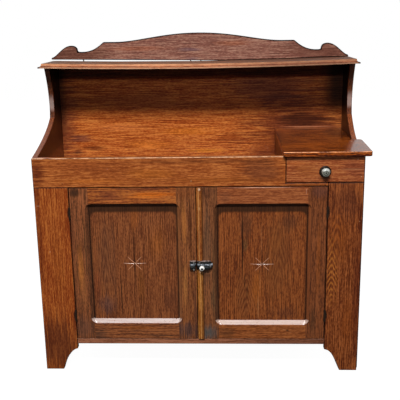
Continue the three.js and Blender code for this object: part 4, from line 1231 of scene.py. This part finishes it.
def japanned():
    """Black japanned iron, with painted highlights broken up by noise: a pale line along its top, a
    pale blue-grey band under its bevel and a dim grey band below that.
    """
    iron = Finish("cast_iron")
    place = iron.place()
    height = iron.part(place, "Z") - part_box("latch_case")[1][2]
    grit = iron.noise(place, 420, 4, 0.6)
    wear = iron.smooth(iron.noise(place, 150, 4, 0.6), 0.32, 0.6)
    paint = iron.blend(iron.smooth(grit, 0.4, 0.7) * 0.5, "0a0a0a", "22221e")
    for low, high, code, strength in latch_highlights:
        line = iron.band(height, low, high, latch_softness)
        paint = iron.blend(line * wear * strength, paint, code)
    return iron.solid(
        {"Base Color": paint, "Roughness": 0.3 + (grit - 0.5) * 0.3, "Normal": iron.bump(grit)}
    )


def slotted_steel(node, turn):
    """Screw steel with a dark slot drawn across the head at its own angle."""
    steel = Finish(f"{node}_steel")
    place = steel.place()
    offset = steel.vector("SUBTRACT", place, front_middle(node))
    cross_slot = Vector((math.sin(turn), 0, math.cos(turn)))
    slot = steel.smooth(
        abs(steel.vector("DOT_PRODUCT", offset, cross_slot, "Value")), 0.0007, 0.0004
    )
    grit = steel.noise(place, 500)
    paint = steel.blend(steel.smooth(grit, 0.4, 0.7) * 0.6, "a09c96", "4a4440")
    return steel.solid({
        "Base Color": steel.blend(slot, paint, "080706"),
        "Roughness": 0.3 + (grit - 0.5) * 0.3,
        "Metallic": 0.3,
        "Normal": steel.bump(1 - slot, 1, 0.0006),
    })


def porcelain():
    """White glaze, with the dark end of the bolt's stem in the knob's middle."""
    glaze = Finish("porcelain")
    place = glaze.place()
    reach = glaze.front_reach(glaze.vector("SUBTRACT", place, front_middle("latch_knob")))
    craze = glaze.noise(place, 260, 3, 0.6)
    white = glaze.blend(glaze.smooth(craze, 0.5, 0.75) * 0.4, "fbfaf4", "dcd6ca")
    stem = glaze.smooth(reach, 0.005, 0.0036)
    return glaze.solid(
        {"Base Color": glaze.blend(stem, white, "0c0806"), "Roughness": 0.1 + stem * 0.6}
    )


cast_iron = japanned()
for node in ("latch_case", "latch_keeper"):
    ease(node, casting_arris, cast_iron)
ease("latch_bolt", bolt_arris, metal("bolt_iron", "2a2622", 0.35, 0.8))
for node, turn in screw_slots.items():
    dress(node, slotted_steel(node, turn))
ease("latch_knob", glaze_arris, porcelain())

# Drawer
# A small drawer that slides on the well's bottom: a varnished front on a plain box, with the
# sides nailed to the front. A bright nail shows at each corner of its right end.
drawer_arris = 0.0024
drawer_box_arris = 0.0008
drawer_nail_width = 0.0032
drawer_nails = ((0.577, 0.84), (0.592, 0.775))
box_tones = ("80603c", "a07e54", "bc9a6c")
board(
    "drawer_front", drawer_arris, "X", ("7b391a", "964c27", "b56e3e"), 41,
    edge_wear_and_highlight("drawer_edge", "1a0b06", sheen=0.3), rings=0.5,
    figures=[((0.4, 0.8), (0.06, 0.04), (0.05, 0.011), ("7c3d1c", "b0682f"), 0.5)],
    spots=[
        ((0.57, 0.8), (0.06, 0.06), "863f27", 0.6),
        ((0.36, 0.825), (0.05, 0.012), "a74f1a", 0.5),
        ((0.56, 0.803), (0.05, 0.004), "b87850", 0.6),
        ((0.46, 0.773), (0.04, 0.01), "3f1f12", 0.5),
    ],
)
for seed, node in enumerate(
    ("drawer_left_side", "drawer_right_side", "drawer_back", "drawer_bottom"), 42
):
    along = "Y" if "side" in node else "X"
    board(node, drawer_box_arris, along, box_tones, seed, gloss=0.7, coat=0)
bright_iron = metal("bright_iron", "d8c8b0", 0.4, 0.3, rust="b09070")
drawer_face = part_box("drawer_front")[0][1]
nail_heads.set(
    "drawer_nails", "drawer", [(Vector((x, drawer_face, z)), to_front) for x, z in drawer_nails],
    drawer_nail_width, nail_proud, nail_turn, bright_iron, "dark_metal",
)

# Drawer knob
# A turned pewter-grey knob on a dark iron rosette, held by a nut inside. Its crown has a worn
# ring and a small dark pit at the end of the shank.
rosette_arris = 0.0003
knob_arris = 0.0002


def knob_metal():
    """Grey metal with a painted highlight on its top above the ring and painted shade round its rim,
    strongest below; dark in the ring and in the pit.
    """
    pewter = Finish("knob_metal")
    place = pewter.place()
    middle = front_middle("drawer_knob")
    reach = pewter.front_reach(pewter.vector("SUBTRACT", place, middle))
    rise = pewter.part(place, "Z") - middle.z
    grit = pewter.noise(place, 420, 4, 0.6)
    ring = pewter.smooth(reach, 0.006, 0.007) * pewter.smooth(reach, 0.0096, 0.0084)
    pit = pewter.smooth(reach, 0.0032, 0.0022)
    top_highlight = pewter.smooth(rise, 0.004, 0.009) * pewter.smooth(reach, 0.0085, 0.0105)
    rim = pewter.smooth(reach - rise * 0.25, 0.014, 0.0165)
    paint = pewter.blend(pewter.smooth(grit, 0.35, 0.7), "a4a69a", "5a5c51")
    # The bright top is a painted highlight and the dark rim, strongest below, is painted shade.
    paint = pewter.stained(
        paint, (ring * 0.8, "22211c"), (pit, "0c0b09"), (top_highlight * 0.7, "e8ece6"),
        (rim * 0.85, "1c1712"),
    )
    return pewter.solid({
        "Base Color": paint,
        "Roughness": 0.34 + (grit - 0.5) * 0.3,
        "Metallic": 0.35,
        "Normal": pewter.bump(grit * 0.25 - ring - pit * 1.5, 0.8, 0.0008),
    })


dark_iron = metal("dark_iron", "120e0b", 0.38, 0.4)
for node in ("drawer_knob_rosette", "drawer_knob_nut"):
    ease(node, rosette_arris, dark_iron)
ease("drawer_knob", knob_arris, knob_metal())
